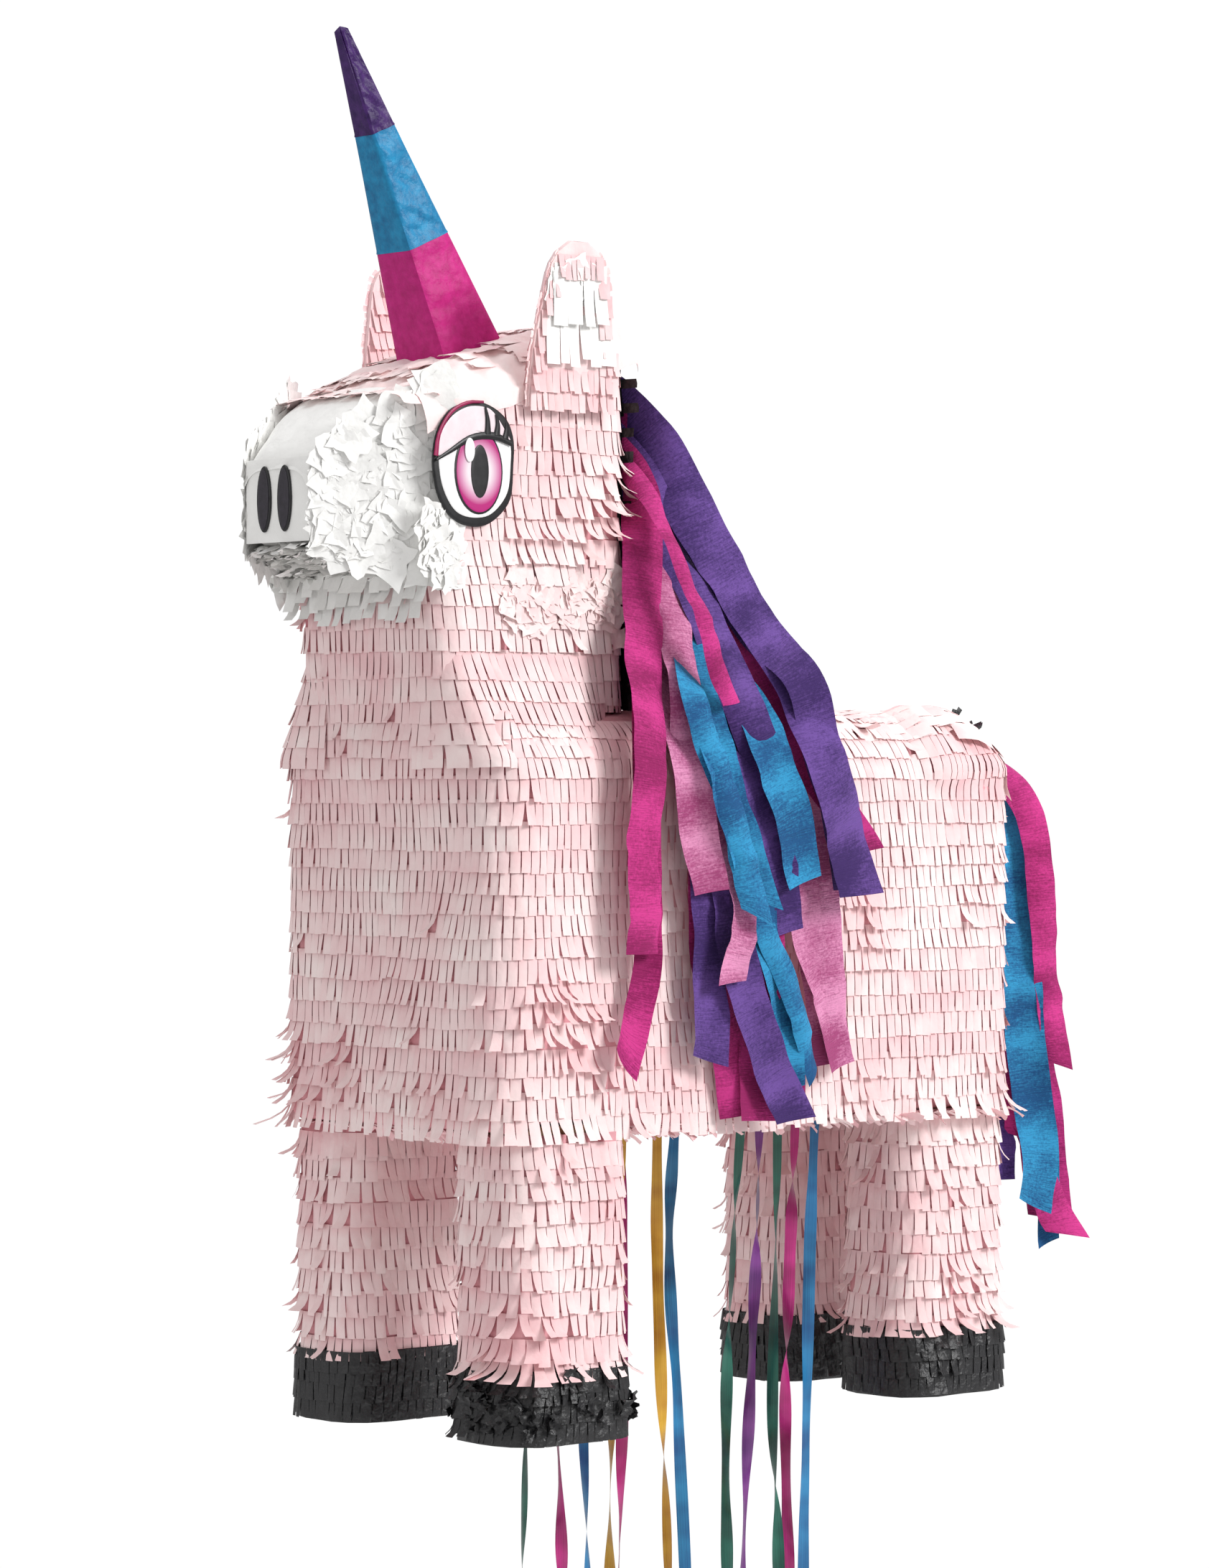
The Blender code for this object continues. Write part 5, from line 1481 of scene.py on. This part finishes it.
def add_horn():
    """Four-sided paper cone in three bands, smooth in front and wrinkled at the sides."""
    bands = (("horn_band_lower", HORN_MAGENTA, "magenta_crepe", 0.0, 0.36, 1),
             ("horn_band_middle", HORN_BLUE, "blue_crepe", 0.36, 0.70, 2),
             ("horn_band_tip", HORN_PURPLE, "purple_crepe", 0.70, 1.0, 3))
    for name, paint, slot, start, end, seed in bands:
        cut = Cut()
        rows = []
        count = 36
        for i in range(count + 1):
            share = start + (end - start) * i / count
            half = horn_half(share)
            z = share * HORN_LENGTH
            if i == 0:
                half += 0.0002
            row = []
            for face in range(4):
                turn = Matrix.Rotation(radians(90 * face - 45), 3, "Z")
                a = turn @ Vector((sqrt(2) * half, 0, 0))
                b = Matrix.Rotation(radians(90), 3, "Z") @ a
                for j in range(12):
                    t = j / 12
                    point = a.lerp(b, t)
                    inward = -point.normalized() * 0.0009 * (1 - sin(pi * t)) ** 6
                    wrinkle = 0.0
                    if face in (0, 2):
                        slope = z * 330 + t * 3.2 * (1 if face == 0 else -1)
                        wrinkle = noise.noise(Vector((t * 2.0, slope * 0.8, seed * 5.0 + face))) * 0.0013
                        wrinkle += noise.noise(Vector((t * 1.2, z * 90, seed * 9.0 + face))) * 0.0007
                    else:
                        wrinkle = noise.noise(Vector((t * 2.0, z * 70, seed * 3.0 + face))) * 0.0002
                    out = Vector((a.x + b.x, a.y + b.y, 0)).normalized()
                    point = point + inward + out * wrinkle * sin(pi * t) ** 0.7
                    point.z = z
                    row.append(HORN @ point)
            rows.append(row)
        cut.grid(rows, 0.5, wrap=True)
        if end == 1.0:
            last = horn_half(1.0)
            for extra in (0.75, 0.4):
                rows = [rows[-1], [HORN @ Vector(((HORN.inverted() @ p).x * extra, (HORN.inverted() @ p).y * extra,
                                                  HORN_LENGTH + last * (1 - extra) * 0.9)) for p in rows[-1]]]
                cut.grid(rows, 0.5, wrap=True)
            cut.fan(rows[-1], HORN @ Vector((0, 0, HORN_LENGTH + last * 0.75)))
        mesh = cut.mesh(name + "_paper")
        bm = bmesh.new()
        bm.from_mesh(mesh)
        bmesh.ops.remove_doubles(bm, verts=bm.verts, dist=0.000002)
        bm.to_mesh(mesh)
        bm.free()
        mesh.shade_smooth()
        mesh.set_sharp_from_angle(angle=radians(38))
        place(name + "_paper", mesh, paint, "carcass", slot, (name,))

    rng = random.Random(151)
    cut = Cut()
    rows = []
    count = 72
    for i in range(count):
        angle = 2 * pi * i / count
        c, s = cos(angle), sin(angle)
        square = 1 / max(abs(c), abs(s)) * 0.75 + 0.25
        row = []
        for j in range(12):
            turn = 2 * pi * j / 12
            rough = noise.noise(Vector((c * 3.2, s * 3.2, j * 0.6))) * 0.0042
            rough += noise.noise(Vector((c * 9, s * 9, j * 1.1))) * 0.0022
            radius = max(0.0034 + rough + 0.0016 * max(s, 0.0), 0.0012)
            reach = 0.0176 * square + (radius + 0.0004) * cos(turn)
            row.append(HORN @ Vector((c * reach, s * reach, -0.0030 + 0.0008 * sin(3 * angle) + radius * sin(turn))))
        rows.append(row)
    rows.append(rows[0])
    cut.grid(rows, 0.75, wrap=True)
    for _ in range(60):
        angle = rng.uniform(0, 2 * pi)
        reach = rng.uniform(0.021, 0.027)
        local = Vector((cos(angle) * reach, sin(angle) * reach, rng.uniform(-0.007, -0.003)))
        tuft(cut, rng, HORN @ local, (HORN.to_3x3() @ Vector((cos(angle), sin(angle), 0.9))).normalized(),
             rng.uniform(0.008, 0.013), rng.uniform(0.0006, 0.0018), rng.uniform(0.6, 1.0))
    place("horn_collar_tissue", cut.mesh("horn_collar_tissue"), PINK, "carcass", "pink_tissue", ("horn_collar",))


add_horn()

# ---------------------------------------------------------------- mane and tail

PAINTS = {"purple_crepe": PURPLE, "blue_crepe": BLUE, "magenta_crepe": MAGENTA, "pink_crepe": ROSE,
          "black_crepe": BLACK, "white_tissue": WHITE}

# name: (slot, width, centre line (x, y, z) above the hoof plane, end slant), in metres.
MANE = {
    "mane_purple_outer": ("purple_crepe", 0.017, ((0.020, -0.0405, 0.410), (0.036, -0.030, 0.385),
        (0.052, -0.017, 0.346), (0.066, -0.002, 0.312), (0.078, 0.009, 0.284), (0.0835, 0.015, 0.255),
        (0.0835, 0.026, 0.229), (0.0835, 0.033, 0.205)), 0.2),
    "mane_magenta_front": ("magenta_crepe", 0.013, ((0.026, -0.0405, 0.386), (0.0415, -0.0395, 0.362),
        (0.054, -0.0500, 0.325), (0.066, -0.0600, 0.295), (0.0785, -0.0700, 0.262), (0.0790, -0.0740, 0.225),
        (0.0785, -0.0740, 0.184)), 0.0),
    "mane_blue_front": ("blue_crepe", 0.013, ((0.022, -0.0405, 0.366), (0.038, -0.034, 0.342),
        (0.060, -0.0370, 0.306), (0.0760, -0.0400, 0.278), (0.0820, -0.0380, 0.250), (0.0820, -0.0280, 0.225),
        (0.0820, -0.0180, 0.203)), 0.9),
    "mane_blue_rear": ("blue_crepe", 0.014, ((0.020, -0.0405, 0.346), (0.034, -0.0310, 0.326),
        (0.056, -0.0200, 0.300), (0.0745, -0.0130, 0.277), (0.0808, -0.0090, 0.255), (0.0808, 0.0010, 0.232),
        (0.0808, 0.0060, 0.210)), -0.1),
    "mane_pink_front": ("pink_crepe", 0.013, ((0.030, -0.0405, 0.334), (0.044, -0.0370, 0.316),
        (0.058, -0.0430, 0.294), (0.0715, -0.0480, 0.275), (0.0785, -0.0490, 0.252), (0.0785, -0.0460, 0.230),
        (0.0785, -0.0400, 0.207)), 0.1),
    "mane_purple_inner": ("purple_crepe", 0.014, ((0.018, -0.0405, 0.322), (0.034, -0.0300, 0.305),
        (0.056, -0.0250, 0.288), (0.0715, -0.0200, 0.270), (0.0777, -0.0150, 0.246), (0.0777, -0.0060, 0.220),
        (0.0777, 0.0000, 0.190)), -0.1),
    "mane_purple_lower": ("purple_crepe", 0.014, ((0.026, -0.0405, 0.311), (0.040, -0.0330, 0.296),
        (0.056, -0.0350, 0.2835), (0.0680, -0.0370, 0.274), (0.0752, -0.0380, 0.250), (0.0752, -0.0370, 0.200),
        (0.0752, -0.0360, 0.142)), 0.3),
    "mane_magenta_lower": ("magenta_crepe", 0.014, ((0.014, -0.0405, 0.304), (0.030, -0.0260, 0.294),
        (0.052, -0.0100, 0.2840), (0.0690, -0.0040, 0.271), (0.0747, -0.0040, 0.245), (0.0747, -0.0080, 0.190),
        (0.0747, -0.0110, 0.118)), 0.0),
    "mane_pink_rear": ("pink_crepe", 0.016, ((0.002, -0.0405, 0.298), (0.018, -0.0220, 0.291),
        (0.048, 0.0060, 0.2835), (0.0665, 0.0150, 0.2715), (0.0737, 0.0180, 0.248), (0.0737, 0.0240, 0.200),
        (0.0737, 0.0330, 0.139)), 0.0),
}
TAIL = {
    "tail_magenta": ("magenta_crepe", 0.015, ((0.000, 0.1735, 0.2660), (0.006, 0.1850, 0.2610),
        (0.012, 0.1950, 0.2420), (0.015, 0.2000, 0.2100), (0.017, 0.2030, 0.1600), (0.020, 0.2080, 0.1050),
        (0.022, 0.2120, 0.0640)), 0.3),
    "tail_blue": ("blue_crepe", 0.014, ((0.0085, 0.1690, 0.2560), (0.018, 0.1760, 0.2480), (0.025, 0.1820, 0.2250),
        (0.028, 0.1850, 0.1850), (0.030, 0.1880, 0.1400), (0.032, 0.1930, 0.1000), (0.033, 0.1900, 0.0710)), 0.3),
}


def spread(x):
    """Layers of hanging strips stand a little further apart than their thin CAD strips do."""
    return x if x < 0.0725 else 0.0725 + (x - 0.0725) * 1.5


def streamer(name, seed, width, points, slant, root=(0, 1, 0), end=(1, 0, 0), proud=0.0015, shown=1.0):
    """Crepe strip along its line: it turns from its root to face outwards, ripples, creases and curls at the end."""
    line = smooth_line([at(spread(x), y, z) for x, y, z in points], 70)
    rows = []
    flat = []
    tones = []
    gone = 0.0
    count = len(line)
    rng = random.Random(seed * 13 + 5)
    phase = rng.uniform(0, 6.28)
    cupping = rng.choice((-1, 1)) * rng.uniform(0.0009, 0.0020)
    creases = [(rng.uniform(0.15, 0.95), rng.uniform(-0.8, 0.8)) for _ in range(3)]
    for index, point in enumerate(line):
        share = index / (count - 1)
        if index:
            gone += (point - line[index - 1]).length
        turn = min(share / 0.35, 1.0)
        normal = Vector(root).lerp(Vector(end), turn * turn * (3 - 2 * turn)).normalized()
        along = (line[min(index + 1, count - 1)] - line[max(index - 1, 0)]).normalized()
        across = normal.cross(along).normalized()
        face = along.cross(across).normalized()
        if face.dot(normal) < 0:
            face = -face
        sway = 0.15 + 0.85 * ease((at(0, 0, shown).z + 0.004 - point.z) / 0.022)
        angle = sway * (waver(seed, gone, 14.0) * 0.30 + 0.12 * share * sin(gone * 42 + phase))
        spin = Matrix.Rotation(angle, 3, along)
        across = spin @ across
        face = spin @ face
        wide = width / 2 * min(0.55 + share * 3, 1.0) * (1 + 0.05 * waver(seed + 20, gone, 30.0))
        ripple = sway * (0.0009 * sin(gone * 130 + phase) * share + 0.0011 * waver(seed + 40, gone, 45.0))
        row = []
        spots = []
        for side in (-1, -0.66, -0.33, 0, 0.33, 0.66, 1):
            fold = 0.0
            for where, lean in creases:
                distance = (share - where - side * lean * width / 2 / max(gone, 0.05)) * gone
                fold += 0.0013 * max(0.0, 1 - abs(distance) / 0.0040)
            frill = 0.0006 * abs(side) ** 2 * waver(seed + (50 if side < 0 else 60), gone, 110.0)
            slide = along * (slant * side * width / 2 * ease((share - 0.93) / 0.07))
            off = ripple + sway * (cupping * (side * side - 0.35) + fold + frill)
            row.append(point + across * (side * wide) + face * (off + proud * ease(share * 4)) + slide)
            spots.append((side * wide, gone))
        rows.append(row)
        flat.append(spots)
        tones.append(0.5)
    cut = Cut()
    cut.grid(rows, tones, flat=flat)
    return cut.mesh(name), gone


STRIP_FULL = 1.28

# Shorter strips and torn ends that show between the long ones, and two fills behind them:
# (name, slot, width, line, end slant).
LOOSE_STRIPS = (
    ("mane_tip_purple", "purple_crepe", 0.017, ((0.081, 0.0066, 0.289), (0.081, 0.018, 0.257),
        (0.081, 0.028, 0.232), (0.080, 0.034, 0.207)), 0.2),
    ("mane_tip_magenta", "magenta_crepe", 0.013, ((0.062, -0.007, 0.312), (0.0735, 0.0045, 0.278),
        (0.0800, 0.020, 0.246), (0.0815, 0.041, 0.222)), 0.6),
    ("mane_twist_pink", "magenta_crepe", 0.0085, ((0.026, -0.0405, 0.382), (0.042, -0.0415, 0.366),
        (0.058, -0.0430, 0.351), (0.0705, -0.0450, 0.335), (0.0800, -0.0430, 0.309), (0.0810, -0.037, 0.290),
        (0.0810, -0.0315, 0.279)), 0.3),
    ("mane_back_pale", "white_tissue", 0.010, ((0.0755, -0.017, 0.210), (0.0755, -0.012, 0.193),
        (0.0755, -0.010, 0.176)), -0.3),
    ("mane_end_magenta", "magenta_crepe", 0.012, ((0.0745, -0.066, 0.222), (0.0755, -0.068, 0.180),
        (0.0765, -0.074, 0.159), (0.0785, -0.083, 0.142)), 0.7),
    ("mane_end_mauve", "pink_crepe", 0.013, ((0.0800, -0.028, 0.216), (0.0815, -0.026, 0.194),
        (0.0815, -0.0315, 0.172)), -0.4),
    ("mane_low_purple", "purple_crepe", 0.017, ((0.0762, -0.0300, 0.222), (0.0795, -0.024, 0.176),
        (0.0800, -0.011, 0.1435), (0.0800, 0.003, 0.118)), 0.4),
    ("mane_low_magenta", "magenta_crepe", 0.016, ((0.0740, -0.034, 0.180), (0.0742, -0.023, 0.149),
        (0.0745, -0.018, 0.120)), 0.0),
    ("mane_low_teal", "blue_crepe", 0.012, ((0.0783, -0.010, 0.191), (0.078, 0.000, 0.1625), (0.078, 0.004, 0.129)),
        -0.3),
    ("mane_low_magenta_dark", "magenta_crepe", 0.011, ((0.0768, -0.003, 0.182), (0.0765, 0.0065, 0.154),
        (0.0765, 0.010, 0.127)), 0.2),
    ("mane_low_blue", "blue_crepe", 0.010, ((0.080, -0.012, 0.193), (0.080, -0.002, 0.1765), (0.080, 0.0075, 0.154),
        (0.080, 0.015, 0.135)), -0.6),
    ("mane_wide_pink", "pink_crepe", 0.016, ((0.0745, 0.0120, 0.226), (0.0750, 0.018, 0.1865),
        (0.0755, 0.027, 0.162), (0.0755, 0.034, 0.137)), 0.0),
    ("mane_twist_blue", "blue_crepe", 0.012, ((0.0790, -0.048, 0.282), (0.0835, -0.037, 0.243),
        (0.0845, -0.029, 0.219), (0.0845, -0.023, 0.197)), 0.9),
    ("mane_fill_mauve", "pink_crepe", 0.015, ((0.024, -0.0405, 0.376), (0.042, -0.036, 0.350),
        (0.060, -0.040, 0.316), (0.0745, -0.046, 0.284), (0.0770, -0.047, 0.258), (0.0770, -0.043, 0.235)), 0.2),
    ("mane_fill_purple", "purple_crepe", 0.018, ((0.020, -0.0405, 0.394), (0.037, -0.035, 0.366),
        (0.055, -0.028, 0.330), (0.071, -0.022, 0.298), (0.0775, -0.016, 0.270), (0.0780, -0.004, 0.245),
        (0.0780, 0.004, 0.222)), 0.2),
)
TAIL_LOOSE = (
    ("tail_end_magenta", "magenta_crepe", 0.015, ((0.026, 0.192, 0.118), (0.029, 0.198, 0.092),
        (0.032, 0.204, 0.070), (0.036, 0.209, 0.058)), 0.8),
    ("tail_thin_blue", "blue_crepe", 0.010, ((0.022, 0.197, 0.160), (0.026, 0.201, 0.120), (0.029, 0.204, 0.080),
        (0.028, 0.2055, 0.054)), -0.4),
    ("tail_magenta_inner", "magenta_crepe", 0.012, ((0.004, 0.1700, 0.2570), (0.014, 0.1830, 0.2500),
        (0.020, 0.1900, 0.2280), (0.022, 0.1905, 0.1950), (0.024, 0.1900, 0.1500), (0.026, 0.1890, 0.1000)), 0.2),
    ("tail_magenta_front", "magenta_crepe", 0.013, ((0.010, 0.1760, 0.2630), (0.024, 0.1850, 0.2540),
        (0.034, 0.1900, 0.2290), (0.0365, 0.1935, 0.1900), (0.0370, 0.1970, 0.1560), (0.0380, 0.2010, 0.1300)),
        0.5),
    ("tail_dark_inner", "purple_crepe", 0.010, ((0.018, 0.182, 0.150), (0.020, 0.1830, 0.115),
        (0.024, 0.1820, 0.082)), 0.0),
)


# The long strip that each shorter one hangs under, from the root down to where it shows.
UNDER = {
    "mane_tip_purple": "mane_purple_outer", "mane_tip_magenta": "mane_purple_outer",
    "mane_back_pale": "mane_magenta_lower", "mane_end_magenta": "mane_magenta_front",
    "mane_end_mauve": "mane_blue_front", "mane_low_purple": "mane_purple_lower",
    "mane_low_magenta": "mane_purple_lower", "mane_low_teal": "mane_magenta_lower",
    "mane_low_magenta_dark": "mane_magenta_lower", "mane_low_blue": "mane_purple_inner",
    "mane_wide_pink": "mane_pink_rear", "mane_twist_blue": "mane_blue_front",
    "tail_end_magenta": "tail_blue", "tail_thin_blue": "tail_magenta", "tail_dark_inner": "tail_blue",
}


def hidden_lead(name, points):
    """Line from the root to the first point that shows, close under a long strip."""
    if name not in UNDER:
        return ()
    guide = {**MANE, **TAIL}[UNDER[name]][2]
    lead = []
    for x, y, z in guide:
        if z > points[0][2] + 0.014:
            inner = x - (0.0040 if name.startswith("tail") else 0.0020 if x > 0.0760 else 0.0)
            lead.append((inner, y, z - (0.0030 if x < 0.0725 else 0.0)))
    return tuple(lead)


def add_loose(group, seed, end, root):
    for number, (name, slot, width, points, slant) in enumerate(group):
        line = hidden_lead(name, points) + points
        shown = points[0][2] if name in UNDER else 1.0
        mesh, length = streamer(name, seed + number, width, line, slant, root, end, proud=0.0, shown=shown)
        obj = place(name, mesh, PAINTS[slot], "carcass", slot)


def add_streamers(group, seed, root, end):
    for number, (name, (slot, width, points, slant)) in enumerate(group.items()):
        width *= STRIP_FULL
        mesh, length = streamer(name + "_strip", seed + number, width, points, slant, root, end)
        obj = place(name + "_strip", mesh, PAINTS[slot], "carcass", slot, (name,))


add_streamers(MANE, 3, (0, -1, 0), (1, -0.12, 0))
add_streamers(TAIL, 31, (0.3, 0.2, 1), (1, -0.3, 0))
add_loose(LOOSE_STRIPS, 61, (1, -0.12, 0), (0, -1, 0))
add_loose(TAIL_LOOSE, 91, (1, -0.3, 0), (0.3, 0.2, 1))


def add_roots():
    """Black crepe backing of the mane and stub of the tail, with ragged edges."""
    rng = random.Random(171)
    skin("mane_base", BLACK, "black_crepe", amount=0.0010)
    low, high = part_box("mane_base")
    cut = Cut()
    z = low.z + 0.004
    while z < high.z:
        for x, outward in ((high.x, 1), (low.x, -1)):
            def edge(a, s, x=x, outward=outward, z=z):
                return Vector((x - outward * 0.002 - outward * s, high.y + 0.0002, z + a)), Vector((0, 1, 0))
            finger(cut, rng, edge, 0.0, 0.0, rng.uniform(0.0035, 0.006), rng.uniform(0.006, 0.0105), 1.0)
        x = low.x + 0.002
        while x < high.x:
            def face(a, s, z=z):
                return Vector((a, high.y, z + s)), Vector((0, 1, 0))
            finger(cut, rng, face, x, 0.0, 0.0045, 0.0125, 1.1)
            x += 0.0048
        z += 0.0095
    for height in (0.300, 0.293, 0.286):
        x = low.x + 0.001
        while x < NECK_HIGH.x - 0.003:
            def corner(a, s, height=height):
                return Vector((a, high.y - 0.0004, at(0, 0, height).z + s)), Vector((0, 1, 0))
            finger(cut, rng, corner, x, 0.0, 0.0046, min(0.0105, height - 0.2768), 0.8)
            x += 0.0044
    place("mane_backing_fringe", cut.mesh("mane_backing_fringe"), BLACK, "carcass", "black_crepe")
    skin("tail_root", BLACK, "black_crepe", amount=0.0014)
    low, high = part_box("tail_root")
    end = Vector(((low.x + high.x) / 2, high.y - 0.003, high.z - 0.007))
    cut = Cut()
    knot = Cut()
    for _ in range(34):
        turn = rng.uniform(0, 2 * pi)
        away = Vector((cos(turn) * 0.45, 0.85, 0.78 + sin(turn) * 0.40)).normalized()
        side = away.orthogonal().normalized()
        start = end + Vector((0, rng.uniform(-0.010, 0.0), rng.uniform(-0.002, 0.002)))

        def spike(a, s, start=start, side=side, away=away):
            return start + side * a - away * s, away.cross(side)

        finger(cut, rng, spike, 0.0, 0.0, rng.uniform(0.0022, 0.0042), rng.uniform(0.013, 0.025), 1.0,
               rng.uniform(0.0, 0.003), rng.gauss(0.0, 0.002))
    for _ in range(12):
        point = end + Vector((rng.uniform(-0.002, 0.010), rng.uniform(0.006, 0.018), rng.uniform(-0.006, 0.004)))
        tuft(knot, rng, point, Vector((rng.uniform(-0.4, 1), rng.uniform(-0.4, 0.6), rng.uniform(0, 1))).normalized(),
             rng.uniform(0.005, 0.009), rng.uniform(0.001, 0.003))
    place("tail_root_spikes", cut.mesh("tail_root_spikes"), BLACK, "carcass", "black_crepe")
    place("tail_knot", knot.mesh("tail_knot"), MAGENTA, "carcass", "magenta_crepe")


add_roots()

# ---------------------------------------------------------------- carried-over CAD nodes

for name, node in NODES.items():
    paint = None
    if name.endswith("_carton") or "carton" in name or name in ("horn_core", "trap_door", "fill_flap"):
        paint = CARD
    elif name == "loop_dowel":
        paint = WOOD
    elif name == "hang_loop":
        paint = WIRE
    elif name == "ribbon_tape":
        paint = TAPE
    if paint:
        node.data.materials.clear()
        node.data.materials.append(paint)

# ---------------------------------------------------------------- stage and light


def floor_paint():
    shade = Shade("studio_floor")
    place_node = shade.node("ShaderNodeTexCoord")
    length = shade.node("ShaderNodeVectorMath", operation="LENGTH")
    shade.link(place_node.outputs["Object"], length.inputs[0])
    fade = shade.node("ShaderNodeMapRange")
    for key, value in (("From Min", 0.55), ("From Max", 1.6), ("To Min", 1.0), ("To Max", 0.0)):
        fade.inputs[key].default_value = value
    shade.link(length.outputs["Value"], fade.inputs["Value"])
    shade.link(fade.outputs["Result"], shade.shader.inputs["Alpha"])
    shade.shader.inputs["Base Color"].default_value = (0.93, 0.93, 0.93, 1.0)
    shade.shader.inputs["Roughness"].default_value = 0.7
    return shade.material


def add_stage():
    """Pale round floor under the hanging figure, fading into a white surround."""
    bm = bmesh.new()
    bmesh.ops.create_circle(bm, cap_ends=True, segments=96, radius=1.65)
    mesh = bpy.data.meshes.new("studio_floor")
    bm.to_mesh(mesh)
    bm.free()
    mesh.materials.append(floor_paint())
    floor = bpy.data.objects.new("studio_floor", mesh)
    floor.location = (0.0, 0.03, cad_low.z - 0.012)
    bpy.context.scene.collection.objects.link(floor)

    world = bpy.data.worlds.new("studio")
    bpy.context.scene.world = world
    world.use_nodes = True
    tree = world.node_tree
    tree.nodes.clear()
    out = tree.nodes.new("ShaderNodeOutputWorld")
    mix = tree.nodes.new("ShaderNodeMixShader")
    path = tree.nodes.new("ShaderNodeLightPath")
    seen = tree.nodes.new("ShaderNodeBackground")
    seen.inputs["Color"].default_value = (1.0, 1.0, 1.0, 1.0)
    seen.inputs["Strength"].default_value = 1.02
    lit = tree.nodes.new("ShaderNodeBackground")
    lit.inputs["Color"].default_value = (1.0, 0.985, 0.985, 1.0)
    lit.inputs["Strength"].default_value = 0.50
    tree.links.new(path.outputs["Is Camera Ray"], mix.inputs[0])
    tree.links.new(lit.outputs[0], mix.inputs[1])
    tree.links.new(seen.outputs[0], mix.inputs[2])
    tree.links.new(mix.outputs[0], out.inputs[0])

    for name, place_at, size, energy in (("key_light", (2.1, 0.75, 1.1), 0.8, 48.0),
                                         ("fill_light", (-0.6, -2.3, 0.6), 1.6, 6.0),
                                         ("top_light", (0.0, -0.2, 2.1), 1.5, 15.0),
                                         ("back_light", (-1.8, 1.6, 1.2), 1.4, 12.0)):
        data = bpy.data.lights.new(name, "AREA")
        data.size = size
        data.energy = energy
        lamp = bpy.data.objects.new(name, data)
        lamp.location = place_at
        lamp.rotation_euler = (Vector((0, 0.02, -0.1)) - Vector(place_at)).to_track_quat("-Z", "Y").to_euler()
        bpy.context.scene.collection.objects.link(lamp)


add_stage()
bpy.context.scene.view_settings.view_transform = "Standard"
